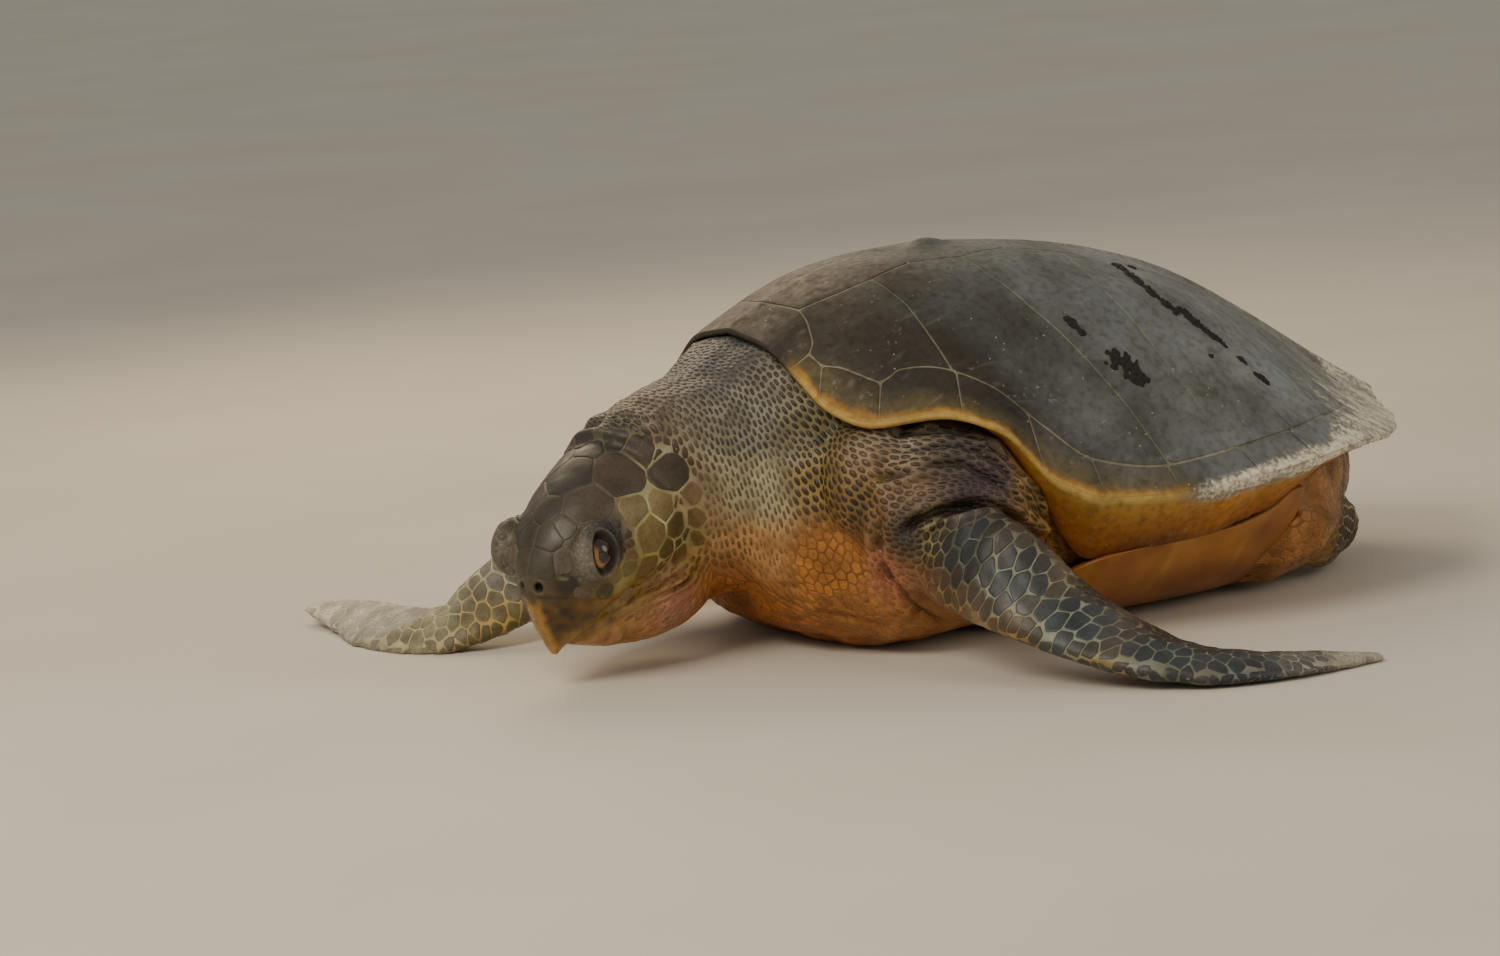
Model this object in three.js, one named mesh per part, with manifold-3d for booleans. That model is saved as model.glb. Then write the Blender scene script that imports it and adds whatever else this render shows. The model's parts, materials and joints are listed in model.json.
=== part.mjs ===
// Olive ridley sea turtle, life size, still museum model.
// Millimetres, +Z up.  The animal faces -Y and its left side is +X.
import * as THREE from 'three';
import { mergeVertices } from 'three/addons/utils/BufferGeometryUtils.js';
import Module from 'manifold-3d';

const wasm = await Module();
wasm.setup();

// ---------------------------------------------------------------- sizes
const LIFE_SCALE = 0.97;          // straight shell length comes to about 660 mm
const FINE = 0.2;                 // cut faces flatter than this are merged
const GAP = 0.36;                 // air left between touching pieces
const APEX = { y: -112, z: 328 }; // highest point of the shell
const SHELL_T = 10;               // thickness of the shell
const RIM_STEPS = 56;             // points around the shell rim
const KEEL_RISE = 4;              // low ridge along the rear of the back
const EDGE = 4.5;                 // thickness of the shell's rim
const SERRATION = 7;              // how far the rear rim plates stand out

// shell rim from the nape to the tail, left side: x out, y back, z up
const RIM = {
  at: [0, 0.06, 0.105, 0.145, 0.195, 0.25, 0.30, 0.355, 0.42, 0.50, 0.58, 0.66, 0.74, 0.82, 0.90, 0.965, 1],
  x: [0, 58, 98, 132, 168, 203, 229, 251, 270, 288, 294, 287, 265, 221, 138, 46, 0],
  y: [-320, -318, -314, -307, -282, -238, -196, -153, -115, -57, 10, 78, 146, 214, 288, 351, 362],
  z: [279, 269, 246, 222, 206, 211, 196, 145, 128, 126, 130, 134, 138, 134, 124, 121, 143],
  smooth: [274, 264, 248, 231, 216, 202, 182, 160, 140, 130, 130, 134, 138, 134, 126, 126, 140],
};
// how steeply the shell falls from its apex, by place along the rim
const FALL = {
  at: [0, 0.12, 0.25, 0.40, 0.60, 0.80, 1],
  power: [2.7, 2.6, 2.4, 2.4, 2.3, 2.1, 1.93],
  flare: [0.0, 0.01, 0.02, 0.04, 0.05, 0.06, 0.05],
};
// underside of the rim: how far in and down its inner lip lies
const LIP = {
  at: [0, 0.25, 0.33, 0.42, 0.50, 0.58, 0.66, 0.70, 0.75, 0.80, 0.86, 1],
  inward: [20, 22, 28, 42, 44, 45, 42, 38, 34, 32, 30, 26],
  down: [-3, 2, 18, 56, 50, 51, 43, 34, 16, 4, -4, -5],
};

// plastron stations along the belly: y, half width, height of its side edge
const BELLY = {
  y: [-226, -200, -165, -128, -98, -40, 20, 70, 105, 128, 142, 175, 215, 240],
  half: [48, 92, 150, 212, 240, 247, 248, 243, 232, 214, 120, 95, 66, 26],
  edge: [9, 12, 24, 56, 71, 76, 78, 87, 99, 96, 40, 20, 12, 9],
};

// head frame: between the eyes
const HEAD = { x: 22, y: -515, z: 117.5, yaw: 21, pitch: 28 };
const EYE = { out: 43, ahead: 0, up: 0, radius: 16.5 };

// ---------------------------------------------------------------- maths
const rad = (d) => d * Math.PI / 180;
const lerp = (a, b, t) => a + (b - a) * t;
const vec = (x, y, z) => new THREE.Vector3(x, y, z);

// smooth curve through a short table of stations
function through(at, values, t) {
  const n = at.length;
  if (t <= at[0]) return values[0];
  if (t >= at[n - 1]) return values[n - 1];
  let i = 0;
  while (t > at[i + 1]) i += 1;
  const slope = (k) => {
    if (k <= 0 || k >= n - 1) {
      const j = k <= 0 ? 0 : n - 2;
      return (values[j + 1] - values[j]) / (at[j + 1] - at[j]);
    }
    const a = (values[k] - values[k - 1]) / (at[k] - at[k - 1]);
    const b = (values[k + 1] - values[k]) / (at[k + 1] - at[k]);
    return a * b <= 0 ? 0 : 2 * a * b / (a + b);
  };
  const h = at[i + 1] - at[i];
  const u = (t - at[i]) / h;
  const m0 = slope(i) * h;
  const m1 = slope(i + 1) * h;
  const u2 = u * u;
  const u3 = u2 * u;
  return (2 * u3 - 3 * u2 + 1) * values[i] + (u3 - 2 * u2 + u) * m0
    + (3 * u2 - 2 * u3) * values[i + 1] + (u3 - u2) * m1;
}

// ---------------------------------------------------------------- meshes
// closed skin over a stack of rings; a fan closes each end, or for a flat
// folded ring a strip between its two runs
function skinOver(rings, folded = false) {
  const n = rings[0].length;
  const points = [];
  for (const ring of rings) {
    for (const p of ring) points.push(p.x, p.y, p.z);
  }
  const faces = [];
  for (let i = 0; i < rings.length - 1; i += 1) {
    for (let j = 0; j < n; j += 1) {
      const k = (j + 1) % n;
      const a = i * n + j;
      const b = i * n + k;
      const c = (i + 1) * n + k;
      const d = (i + 1) * n + j;
      faces.push(a, b, c, a, c, d);
    }
  }
  const base = (rings.length - 1) * n;
  if (folded) {
    for (let j = 0; j < n / 2 - 1; j += 1) {
      const a = n - 1 - j;
      faces.push(j, a, a - 1, j, a - 1, j + 1);
      faces.push(base + j, base + a - 1, base + a, base + j, base + j + 1, base + a - 1);
    }
    return outward(geometryOf(points, faces));
  }
  const centre = (ring) => ring.reduce((s, p) => s.add(p), vec(0, 0, 0)).divideScalar(n);
  const first = centre(rings[0]);
  const last = centre(rings[rings.length - 1]);
  const f = points.length / 3;
  points.push(first.x, first.y, first.z, last.x, last.y, last.z);
  for (let j = 0; j < n; j += 1) {
    const k = (j + 1) % n;
    faces.push(f, k, j, f + 1, base + j, base + k);
  }
  return outward(geometryOf(points, faces));
}

function geometryOf(points, faces) {
  const geometry = new THREE.BufferGeometry();
  geometry.setAttribute('position', new THREE.Float32BufferAttribute(points, 3));
  geometry.setIndex(faces);
  return geometry;
}

function outward(geometry) {
  const p = geometry.attributes.position;
  const q = geometry.index.array;
  let six = 0;
  const a = vec(0, 0, 0);
  const b = vec(0, 0, 0);
  const c = vec(0, 0, 0);
  for (let i = 0; i < q.length; i += 3) {
    a.fromBufferAttribute(p, q[i]);
    b.fromBufferAttribute(p, q[i + 1]);
    c.fromBufferAttribute(p, q[i + 2]);
    six += a.dot(b.cross(c));
  }
  if (six < 0) {
    for (let i = 0; i < q.length; i += 3) {
      const t = q[i];
      q[i] = q[i + 1];
      q[i + 1] = t;
    }
  }
  return geometry;
}

function solid(geometry) {
  const g = geometry.clone();
  g.deleteAttribute('normal');
  g.deleteAttribute('uv');
  const m = mergeVertices(g, 1e-4);
  const vertProperties = new Float32Array(m.attributes.position.array);
  const triVerts = new Uint32Array(m.index.array);
  return new wasm.Manifold(new wasm.Mesh({ numProp: 3, vertProperties, triVerts }));
}

// the largest body of a cut, so that no chip is left over
function largest(m) {
  const pieces = m.decompose();
  pieces.sort((a, b) => b.volume() - a.volume());
  return pieces[0];
}

function keepSide(m, normal, point) {
  const n = normal.clone().normalize();
  return m.trimByPlane([n.x, n.y, n.z], n.dot(point));
}

function join(list) {
  return list.reduce((a, b) => a.add(b));
}

// rounded section: half sizes across and up, squareness n
function oval(centre, across, up, a, b, n, steps) {
  const ring = [];
  for (let j = 0; j < steps; j += 1) {
    const t = 2 * Math.PI * j / steps;
    const c = Math.cos(t);
    const s = Math.sin(t);
    const x = Math.sign(c) * Math.abs(c) ** (2 / n) * a;
    const y = Math.sign(s) * Math.abs(s) ** (2 / n) * b;
    ring.push(centre.clone().addScaledVector(across, x).addScaledVector(up, y));
  }
  return ring;
}

function ball(centre, rx, ry, rz, wide = 24, high = 14) {
  const g = new THREE.SphereGeometry(1, wide, high);
  g.scale(rx, ry, rz);
  g.translate(centre.x, centre.y, centre.z);
  return solid(g);
}

// ---------------------------------------------------------------- shell
function rimAt(q, side) {
  const x = through(RIM.at, RIM.x, q) * side;
  const y = through(RIM.at, RIM.y, q);
  const z = through(RIM.at, RIM.z, q);
  return vec(x, y, z);
}

// 12 rim plates a side: the rear ones end in blunt points
function platePoint(q) {
  const plate = (q - 0.04) / 0.96 * 12;
  const within = plate - Math.floor(plate);
  const rear = Math.min(1, Math.max(0, (q - 0.60) / 0.2));
  return rear * Math.pow(within, 2.2) * (1 - Math.pow(within, 14));
}

function shellPoint(q, side, r, drop) {
  const rim = rimAt(q, side);
  const out = vec(rim.x, rim.y - APEX.y, 0).normalize();
  const push = SERRATION * (platePoint(q) - 0.4) * Math.pow(r, 10) * (q > 0.6 ? 1 : 0);
  rim.addScaledVector(out, push);
  const power = through(FALL.at, FALL.power, q);
  const flare = through(FALL.at, FALL.flare, q);
  const t = Math.max(0, (r - 0.5) / 0.5);
  const fall = Math.pow(r, power) + flare * t * t * (1 - t) * 6.75;
  const x = rim.x * r;
  const y = lerp(APEX.y, rim.y, r);
  const back = Math.min(1, Math.max(0, (y + 60) / 160));
  const ridge = KEEL_RISE * back * Math.exp(-((x / 16) ** 2)) * (1 - Math.pow(r, 8));
  const low = through(RIM.at, RIM.smooth, q);
  const z = lerp(APEX.z, low, fall) + (rim.z - low) * Math.pow(r, 7) + ridge - drop;
  return vec(x, y, z);
}

function aroundRim(f, steps) {
  const ring = [];
  const half = steps / 2;
  for (let j = 0; j < steps; j += 1) {
    const side = j <= half ? 1 : -1;
    const u = j <= half ? j / half : (steps - j) / half;
    ring.push(f(lerp(u, Math.pow(u, 0.8), u), side));
  }
  return ring;
}

// the rim's underside: share 0 at the edge, 1 at the inner lip
function underRim(q, side, share, grow) {
  const p = shellPoint(q, side, 1, 0);
  const out = vec(p.x, p.y - APEX.y, 0).normalize();
  const inward = through(LIP.at, LIP.inward, q) * share;
  const down = through(LIP.at, LIP.down, q);
  p.addScaledVector(out, -inward);
  p.z -= lerp(EDGE, down, share) + grow;
  return p;
}

function innerShell(q, side, r, grow) {
  const lip = underRim(q, side, 1, grow);
  const rim = rimAt(q, side);
  const p = shellPoint(q, side, r, SHELL_T + 4 * r + grow);
  const reach = Math.hypot(lip.x, lip.y - APEX.y) / Math.hypot(rim.x, rim.y - APEX.y);
  const f = Math.min(1, reach * 0.992) * (1 - grow * 0.004);
  p.x *= f;
  p.y = APEX.y + (p.y - APEX.y) * f;
  if (r > 0.85) p.z = lerp(p.z, lip.z, 0.35);
  return p;
}

function shellSolid() {
  const ring = (f) => aroundRim(f, RIM_STEPS);
  const outer = [0.02, 0.16, 0.32, 0.48, 0.62, 0.75, 0.86, 0.95, 1];
  const under = [0.05, 0.5, 1];
  const inner = [0.9, 0.7, 0.4, 0.03];
  return solid(skinOver([
    ...outer.map((r) => ring((q, s) => shellPoint(q, s, r, 0))),
    ...under.map((u) => ring((q, s) => underRim(q, s, u, 0))),
    ...inner.map((r) => ring((q, s) => innerShell(q, s, r, 0))),
  ]));
}

// everything above the shell's inner face, a little lower, so that what it
// cuts clears the shell
function shellCutter() {
  const steps = RIM_STEPS;
  const ring = (f) => aroundRim(f, steps);
  const wide = (q, s, r, lift) => {
    const p = shellPoint(q, s, r, 0);
    return vec(p.x * 1.35, APEX.y + (p.y - APEX.y) * 1.35, p.z + lift);
  };
  const under = [0.05, 0.5, 1];
  const inner = [0.9, 0.7, 0.4, 0.03];
  return solid(skinOver([
    ...[0.02, 0.6, 1].map((r) => ring((q, s) => wide(q, s, r, 80))),
    ring((q, s) => wide(q, s, 1, -2)),
    ...under.map((u) => ring((q, s) => underRim(q, s, u, GAP + 0.1))),
    ...inner.map((r) => ring((q, s) => innerShell(q, s, r, GAP + 0.6))),
  ]));
}

// ---------------------------------------------------------------- belly plate
function bellySolid(grow, steps, span) {
  const rings = [];
  const t0 = BELLY.y[0];
  const t1 = BELLY.y[BELLY.y.length - 1];
  for (let i = 0; i <= span; i += 1) {
    const end = i === 0 ? -grow : i === span ? grow : 0;
    const y = end + lerp(t0, t1, 0.5 - 0.5 * Math.cos(Math.PI * i / span));
    const half = through(BELLY.y, BELLY.half, y);
    const edge = through(BELLY.y, BELLY.edge, y);
    const steep = lerp(3, 4.6, Math.min(1, Math.max(0, (half - 90) / 140)));
    const ring = [];
    for (let j = 0; j < steps; j += 1) {
      const s = Math.sin(Math.PI * (j / (steps - 1) - 0.5));
      const z = Math.max(0, (edge + 3) * Math.pow(Math.abs(s), steep) - 1.5);
      ring.push(vec((half + grow) * s + 3 * grow * Math.pow(s, 9), y, z - grow));
    }
    for (let j = steps - 1; j >= 0; j -= 1) {
      const s = Math.sin(Math.PI * (j / (steps - 1) - 0.5));
      const z = Math.max(0, (edge + 3) * Math.pow(Math.abs(s), steep) - 1.5);
      const thick = 8 + grow;
      const lift = lerp(thick, 2 + grow, Math.pow(Math.abs(s), 6));
      ring.push(vec((half - 7 - grow) * s, y, z + lift));
    }
    rings.push(ring);
  }
  return solid(skinOver(rings, true));
}

// ---------------------------------------------------------------- trunk
const TRUNK = {
  y: [-356, -322, -292, -250, -200, -110, 0, 90, 150, 205, 255, 296],
  half: [72, 114, 163, 197, 203, 204, 204, 202, 198, 165, 112, 40],
  top: [222, 236, 214, 206, 204, 215, 220, 205, 185, 165, 146, 130],
  low: [88, 38, 4, -3, -2, 13, 15, 14, 13, 26, 52, 92],
  side: [150, 140, 115, 105, 105, 110, 110, 105, 95, 90, 95, 112],
};

function trunkSolid() {
  const rings = [];
  const span = 14;
  const across = vec(1, 0, 0);
  for (let i = 0; i <= span; i += 1) {
    const y = lerp(TRUNK.y[0], TRUNK.y[TRUNK.y.length - 1], i / span);
    const at = (k) => through(TRUNK.y, TRUNK[k], y);
    rings.push(unevenOval(vec(0, y, at('side')), across, vec(0, 0, 1), at('half'),
      at('top') - at('side'), at('side') - at('low'), 2.35, 3.1, 22));
  }
  return solid(skinOver(rings));
}

// a section with different heights above and below its widest line
function unevenOval(centre, across, up, a, above, below, nTop, nLow, steps) {
  const ring = [];
  for (let j = 0; j < steps; j += 1) {
    const t = 2 * Math.PI * j / steps;
    const c = Math.cos(t);
    const s = Math.sin(t);
    const n = s >= 0 ? nTop : nLow;
    const b = s >= 0 ? above : below;
    const x = Math.sign(c) * Math.abs(c) ** (2 / n) * a;
    const y = Math.sign(s) * Math.abs(s) ** (2 / n) * b;
    ring.push(centre.clone().addScaledVector(across, x).addScaledVector(up, y));
  }
  return ring;
}

// ---------------------------------------------------------------- head frame
const yaw = rad(HEAD.yaw);
const pitch = rad(HEAD.pitch);
const LEFT = vec(Math.cos(yaw), Math.sin(yaw), 0);
const FLAT = vec(Math.sin(yaw), -Math.cos(yaw), 0);
const AHEAD = FLAT.clone().multiplyScalar(Math.cos(pitch)).add(vec(0, 0, -Math.sin(pitch)));
const OVER = FLAT.clone().multiplyScalar(Math.sin(pitch)).add(vec(0, 0, Math.cos(pitch)));
function inHead(left, ahead, up) {
  return vec(HEAD.x, HEAD.y, HEAD.z).addScaledVector(LEFT, left)
    .addScaledVector(AHEAD, ahead).addScaledVector(OVER, up);
}

// skull: stations from behind the jaw to the beak tip
const SKULL = {
  at: [-118, -85, -50, -20, 5, 22, 36, 46, 53],
  half: [60, 62, 59, 54, 47, 38, 27, 15, 5],
  top: [39, 43, 42, 37, 30, 20, 9, -3, -28],
  low: [-84, -84, -72, -62, -62, -65, -68, -70, -73],
  side: [-25, -25, -22, -20, -20, -24, -28, -34, -52],
};
// lower jaw and throat
const JAW = {
  at: [-112, -80, -45, -15, 6, 22, 34],
  half: [60, 60, 55, 47, 36, 25, 12],
  top: [-40, -46, -50, -54, -56, -58, -62],
  low: [-140, -139, -130, -114, -100, -87, -76],
};

function skullSolid(grow) {
  const rings = [];
  const span = 13;
  for (let i = 0; i <= span; i += 1) {
    const t = Math.sin(Math.PI / 2 * i / span);
    const a = lerp(SKULL.at[0], SKULL.at[8] + grow * 0.5, t);
    const at = (k) => through(SKULL.at, SKULL[k], a);
    rings.push(unevenOval(inHead(0, a, at('side')), LEFT, OVER, at('half') + grow,
      at('top') - at('side') + grow, at('side') - at('low') + grow, 2.2, 3.0, 24));
  }
  return solid(skinOver(rings));
}

function jawSolid() {
  const rings = [];
  const span = 9;
  for (let i = 0; i <= span; i += 1) {
    const a = lerp(JAW.at[0], JAW.at[6], i / span);
    const at = (k) => through(JAW.at, JAW[k], a);
    const mid = (at('top') + at('low')) / 2;
    rings.push(oval(inHead(0, a, mid), LEFT, OVER, at('half'), (at('top') - at('low')) / 2, 2.4, 20));
  }
  return solid(skinOver(rings));
}

// ---------------------------------------------------------------- neck
function neckSolid() {
  const stations = [
    { c: vec(0, -225, 156), tilt: 0, turn: 0, a: 140, b: 116, n: 2.8 },
    { c: vec(0, -285, 158), tilt: 0, turn: 0, a: 130, b: 118, n: 2.8 },
    { c: vec(-1, -314, 157), tilt: 2, turn: 1, a: 112, b: 116, n: 2.7 },
    { c: vec(-4, -346, 149), tilt: 7, turn: 6, a: 92, b: 98, n: 2.3 },
    { c: vec(-9, -380, 140), tilt: 17, turn: 12, a: 80, b: 97, n: 2.15 },
    { c: inHead(0, -98, -46), tilt: HEAD.pitch, turn: HEAD.yaw, a: 70, b: 97, n: 2.15 },
    { c: inHead(0, -80, -44), tilt: HEAD.pitch, turn: HEAD.yaw, a: 66, b: 92, n: 2.15 },
  ];
  const rings = [];
  const parts = 2;
  const index = stations.map((s, i) => i);
  const pick = (f, t) => through(index, stations.map(f), t);
  for (let i = 0; i <= (stations.length - 1) * parts; i += 1) {
    const t = i / parts;
    const turn = rad(pick((s) => s.turn, t));
    const tilt = rad(pick((s) => s.tilt, t));
    const left = vec(Math.cos(turn), Math.sin(turn), 0);
    const flat = vec(Math.sin(turn), -Math.cos(turn), 0);
    const up = flat.clone().multiplyScalar(Math.sin(tilt)).add(vec(0, 0, Math.cos(tilt)));
    const c = vec(pick((s) => s.c.x, t), pick((s) => s.c.y, t), pick((s) => s.c.z, t));
    const squareness = pick((s) => s.n, t);
    rings.push(oval(c, left, up, pick((s) => s.a, t), pick((s) => s.b, t), squareness, 16));
  }
  return solid(skinOver(rings));
}

// ---------------------------------------------------------------- limbs
// each station: centre of the blade, its direction from leading to trailing
// edge, half chord and half thickness
function bladeSolid(stations, perStation, steps, grow = 0) {
  const index = stations.map((s, i) => i);
  const pick = (f, t) => through(index, stations.map(f), t);
  const rings = [];
  const last = (stations.length - 1) * perStation;
  const centreAt = (t) => vec(pick((s) => s.c.x, t), pick((s) => s.c.y, t), pick((s) => s.c.z, t));
  for (let i = 0; i <= last; i += 1) {
    const t = i / perStation;
    const c = centreAt(t);
    const along = centreAt(Math.min(t + 0.05, index.length - 1)).sub(centreAt(Math.max(t - 0.05, 0)));
    along.normalize();
    const chord = vec(pick((s) => s.w.x, t), pick((s) => s.w.y, t), pick((s) => s.w.z, t));
    chord.addScaledVector(along, -chord.dot(along)).normalize();
    const thick = along.clone().cross(chord).normalize();
    const a = pick((s) => s.a, t) + grow;
    const b = pick((s) => s.b, t) + grow;
    rings.push(oval(c, chord, thick, a, b, 2.1, steps));
  }
  return solid(skinOver(rings));
}

const LEFT_ARM = [
  { c: vec(165, -215, 118), w: vec(-0.1, 0.35, 0.95), a: 50, b: 40 },
  { c: vec(225, -240, 94), w: vec(-0.1, 0.35, 0.95), a: 48, b: 33 },
  { c: vec(280, -240, 84), w: vec(-0.1, 0.45, 0.9), a: 46, b: 25 },
  { c: vec(335, -222, 55), w: vec(-0.3, 0.85, 0.45), a: 42, b: 16 },
  { c: vec(390, -192, 29), w: vec(-0.5, 0.8, 0.22), a: 42, b: 13.5 },
  { c: vec(440, -150, 12), w: vec(-0.8, 0.5, 0.08), a: 44, b: 11.5 },
  { c: vec(464, -98, 8), w: vec(-1, 0.05, 0.05), a: 38, b: 8.5 },
  { c: vec(476, -46, 5), w: vec(-1, 0.0, 0.03), a: 25, b: 6 },
  { c: vec(489, -6, 3.2), w: vec(-1, 0.0, 0.0), a: 7, b: 3.4 },
];
const RIGHT_ARM = [
  { c: vec(-165, -215, 118), w: vec(-0.1, 0.35, 0.95), a: 50, b: 40 },
  { c: vec(-198, -266, 99), w: vec(-0.1, 0.35, 0.95), a: 49, b: 34 },
  { c: vec(-215, -330, 84), w: vec(-0.35, 0.15, 0.9), a: 46, b: 26 },
  { c: vec(-209, -395, 64), w: vec(-0.6, 0.1, 0.78), a: 41, b: 20 },
  { c: vec(-197, -449, 44), w: vec(-0.73, 0.1, 0.66), a: 38, b: 16 },
  { c: vec(-206, -486, 27), w: vec(-0.8, 0.35, 0.48), a: 40, b: 14 },
  { c: vec(-236, -512, 14), w: vec(-0.8, 0.55, 0.24), a: 43, b: 11.5 },
  { c: vec(-295, -522, 10.5), w: vec(-0.6, 0.75, 0.2), a: 41, b: 9 },
  { c: vec(-352, -520, 12), w: vec(-0.45, 0.85, 0.3), a: 30, b: 7 },
  { c: vec(-408, -524, 14), w: vec(-0.4, 0.85, 0.3), a: 21, b: 5.5 },
  { c: vec(-438, -529, 15.5), w: vec(-0.4, 0.85, 0.2), a: 11, b: 3.8 },
];
const HIND = [
  { c: vec(128, 110, 62), w: vec(0.3, 0.2, 0.9), a: 42, b: 30 },
  { c: vec(146, 150, 54), w: vec(0.3, 0.1, 0.9), a: 38, b: 24 },
  { c: vec(152, 178, 48), w: vec(0.1, 0.1, 1), a: 37, b: 20 },
  { c: vec(140, 208, 38), w: vec(0.25, 0.1, 0.95), a: 35, b: 14 },
  { c: vec(118, 236, 26), w: vec(0.45, 0.3, 0.8), a: 27, b: 9 },
  { c: vec(92, 256, 13), w: vec(0.6, 0.4, 0.5), a: 13, b: 5 },
];
const mirrored = (list) => list.map((s) => ({
  c: vec(-s.c.x, s.c.y, s.c.z), w: vec(-s.w.x, s.w.y, s.w.z), a: s.a, b: s.b,
}));

// ---------------------------------------------------------------- building
const up = vec(0, 0, 1);
const floor = vec(0, 0, 0);
const onFloor = (m) => keepSide(m, up, floor);

const shellCut = shellCutter();
const bellyCut = bellySolid(GAP + 0.35, 9, 12);
const carapace = largest(shellSolid());
const plastron = largest(onFloor(bellySolid(0, 9, 12)).subtract(shellCut));

const skull = skullSolid(0);
const jawWhole = jawSolid();
const nape = inHead(0, -98, 0);
const neckFront = inHead(0, -98 - GAP, 0);

const shoulder = (s) => ball(vec(168 * s, -212, 122), 80, 93, 84, 11, 7);
// fills the notch of the shell's rim between neck and shoulder
const notchFill = (s) => ball(vec(141 * s, -268, 150), 52, 49, 59, 10, 6);
const thigh = (s) => ball(vec(136 * s, 118, 66), 74, 92, 62, 10, 6);
const TAIL = [
  { c: vec(0, 230, 76), w: vec(1, 0, 0), a: 42, b: 34 },
  { c: vec(0, 268, 64), w: vec(1, 0, 0), a: 28, b: 24 },
  { c: vec(0, 300, 50), w: vec(1, 0, 0), a: 18, b: 16 },
  { c: vec(0, 326, 38), w: vec(1, 0, 0), a: 6, b: 6 },
];
const tailLoft = bladeSolid(TAIL, 2, 10);

// arms leave the body at these planes
const armPlane = (s) => ({ p: vec(236 * s, -250, 95), n: vec(0.92 * s, -0.12, -0.33) });
const rightPlane = { p: vec(-212, -272, 92), n: vec(-0.5, -0.82, -0.25) };
const leftPlane = armPlane(1);
const armLeftWhole = bladeSolid(LEFT_ARM, 2, 14);
const armRightWhole = bladeSolid(RIGHT_ARM, 2, 12);
const hindWhole = (s) => bladeSolid(s > 0 ? HIND : mirrored(HIND), 2, 10);
const hindPlane = (s) => ({ p: vec(150 * s, 166, 50), n: vec(0.25 * s, 0.95, -0.2) });
const tailPlane = { p: vec(0, 272, 70), n: vec(0, 1, -0.4) };

function beyond(m, plane) {
  return keepSide(m, plane.n, plane.p);
}
function before(m, plane) {
  const n = plane.n.clone().normalize();
  return keepSide(m, n.clone().negate(), plane.p.clone().addScaledVector(n, -GAP));
}

let body = join([
  trunkSolid(), shoulder(1), shoulder(-1), notchFill(1), notchFill(-1), thigh(1), thigh(-1),
  before(armLeftWhole, leftPlane), before(armRightWhole, rightPlane),
  before(hindWhole(1), hindPlane(1)), before(hindWhole(-1), hindPlane(-1)),
  before(tailLoft, tailPlane),
]);
const neckWhole = keepSide(neckSolid(), AHEAD.clone().negate(), neckFront);
body = onFloor(body.add(neckWhole));
body = body.subtract(shellCut).subtract(bellyCut);
const neckPlane = { p: vec(0, -322, 0), n: vec(0, -1, 0) };
const neckSide = largest(beyond(body, neckPlane));
const trunk = largest(before(body, neckPlane));

function limb(whole, plane) {
  const piece = onFloor(beyond(whole, plane));
  return piece;
}

// limbs beyond their planes, with the trunk kept off them
const armLeft = largest(limb(armLeftWhole, leftPlane));
const armRight = largest(limb(armRightWhole, rightPlane));
const hindLeft = largest(limb(hindWhole(1), hindPlane(1)));
const hindRight = largest(limb(hindWhole(-1), hindPlane(-1)));
const tail = largest(limb(tailLoft, tailPlane));
const grown = (stations, plane, steps) => beyondGrown(bladeSolid(stations, 2, steps, GAP), plane);
function beyondGrown(m, plane) {
  const n = plane.n.clone().normalize();
  return keepSide(m, n, plane.p.clone().addScaledVector(n, -GAP));
}
const trunkFree = largest(trunk
  .subtract(grown(LEFT_ARM, leftPlane, 14))
  .subtract(grown(RIGHT_ARM, rightPlane, 12))
  .subtract(grown(HIND, hindPlane(1), 10))
  .subtract(grown(mirrored(HIND), hindPlane(-1), 10))
  .subtract(grown(TAIL, tailPlane, 10)));

// wrists part each arm from its blade
const wristLeft = { p: vec(425, -168, 20), n: vec(0.72, 0.68, -0.1) };
const wristRight = { p: vec(-232, -508, 20), n: vec(-0.86, -0.5, -0.1) };
const upperLeft = largest(before(armLeft, wristLeft));
const bladeLeft = largest(beyond(armLeft, wristLeft));
const upperRight = largest(before(armRight, wristRight));
const bladeRight = largest(beyond(armRight, wristRight));

// head pieces
const headRear = { p: nape, n: AHEAD.clone() };
const eyeAt = (s) => inHead(EYE.out * s, EYE.ahead, EYE.up);
function turned(geometry, s) {
  const m = new THREE.Matrix4().makeBasis(LEFT, AHEAD.clone().negate(), OVER);
  geometry.applyMatrix4(m);
  const c = eyeAt(s);
  geometry.translate(c.x, c.y, c.z);
  return solid(geometry);
}
function lidGeometry(s) {
  const g = new THREE.SphereGeometry(1, 14, 9);
  g.scale(18.5, 26, 23.5);
  g.rotateZ(rad(12 * s));
  g.translate(-1 * s, 1, 0);
  return g;
}
function slotGeometry(s) {
  const g = new THREE.SphereGeometry(1, 10, 6);
  g.scale(15, 19.5, 11);
  g.rotateX(rad(42));
  g.translate(15 * s, -1.5, -0.5);
  return g;
}
function ballGeometry(radius) {
  return new THREE.SphereGeometry(radius, 12, 8);
}
let head = beyond(skull, headRear);
head = head.add(turned(lidGeometry(1), 1)).add(turned(lidGeometry(-1), -1));
for (const s of [1, -1]) {
  head = head.subtract(turned(ballGeometry(EYE.radius + GAP), s));
  head = head.subtract(turned(slotGeometry(s), s));
}
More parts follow.
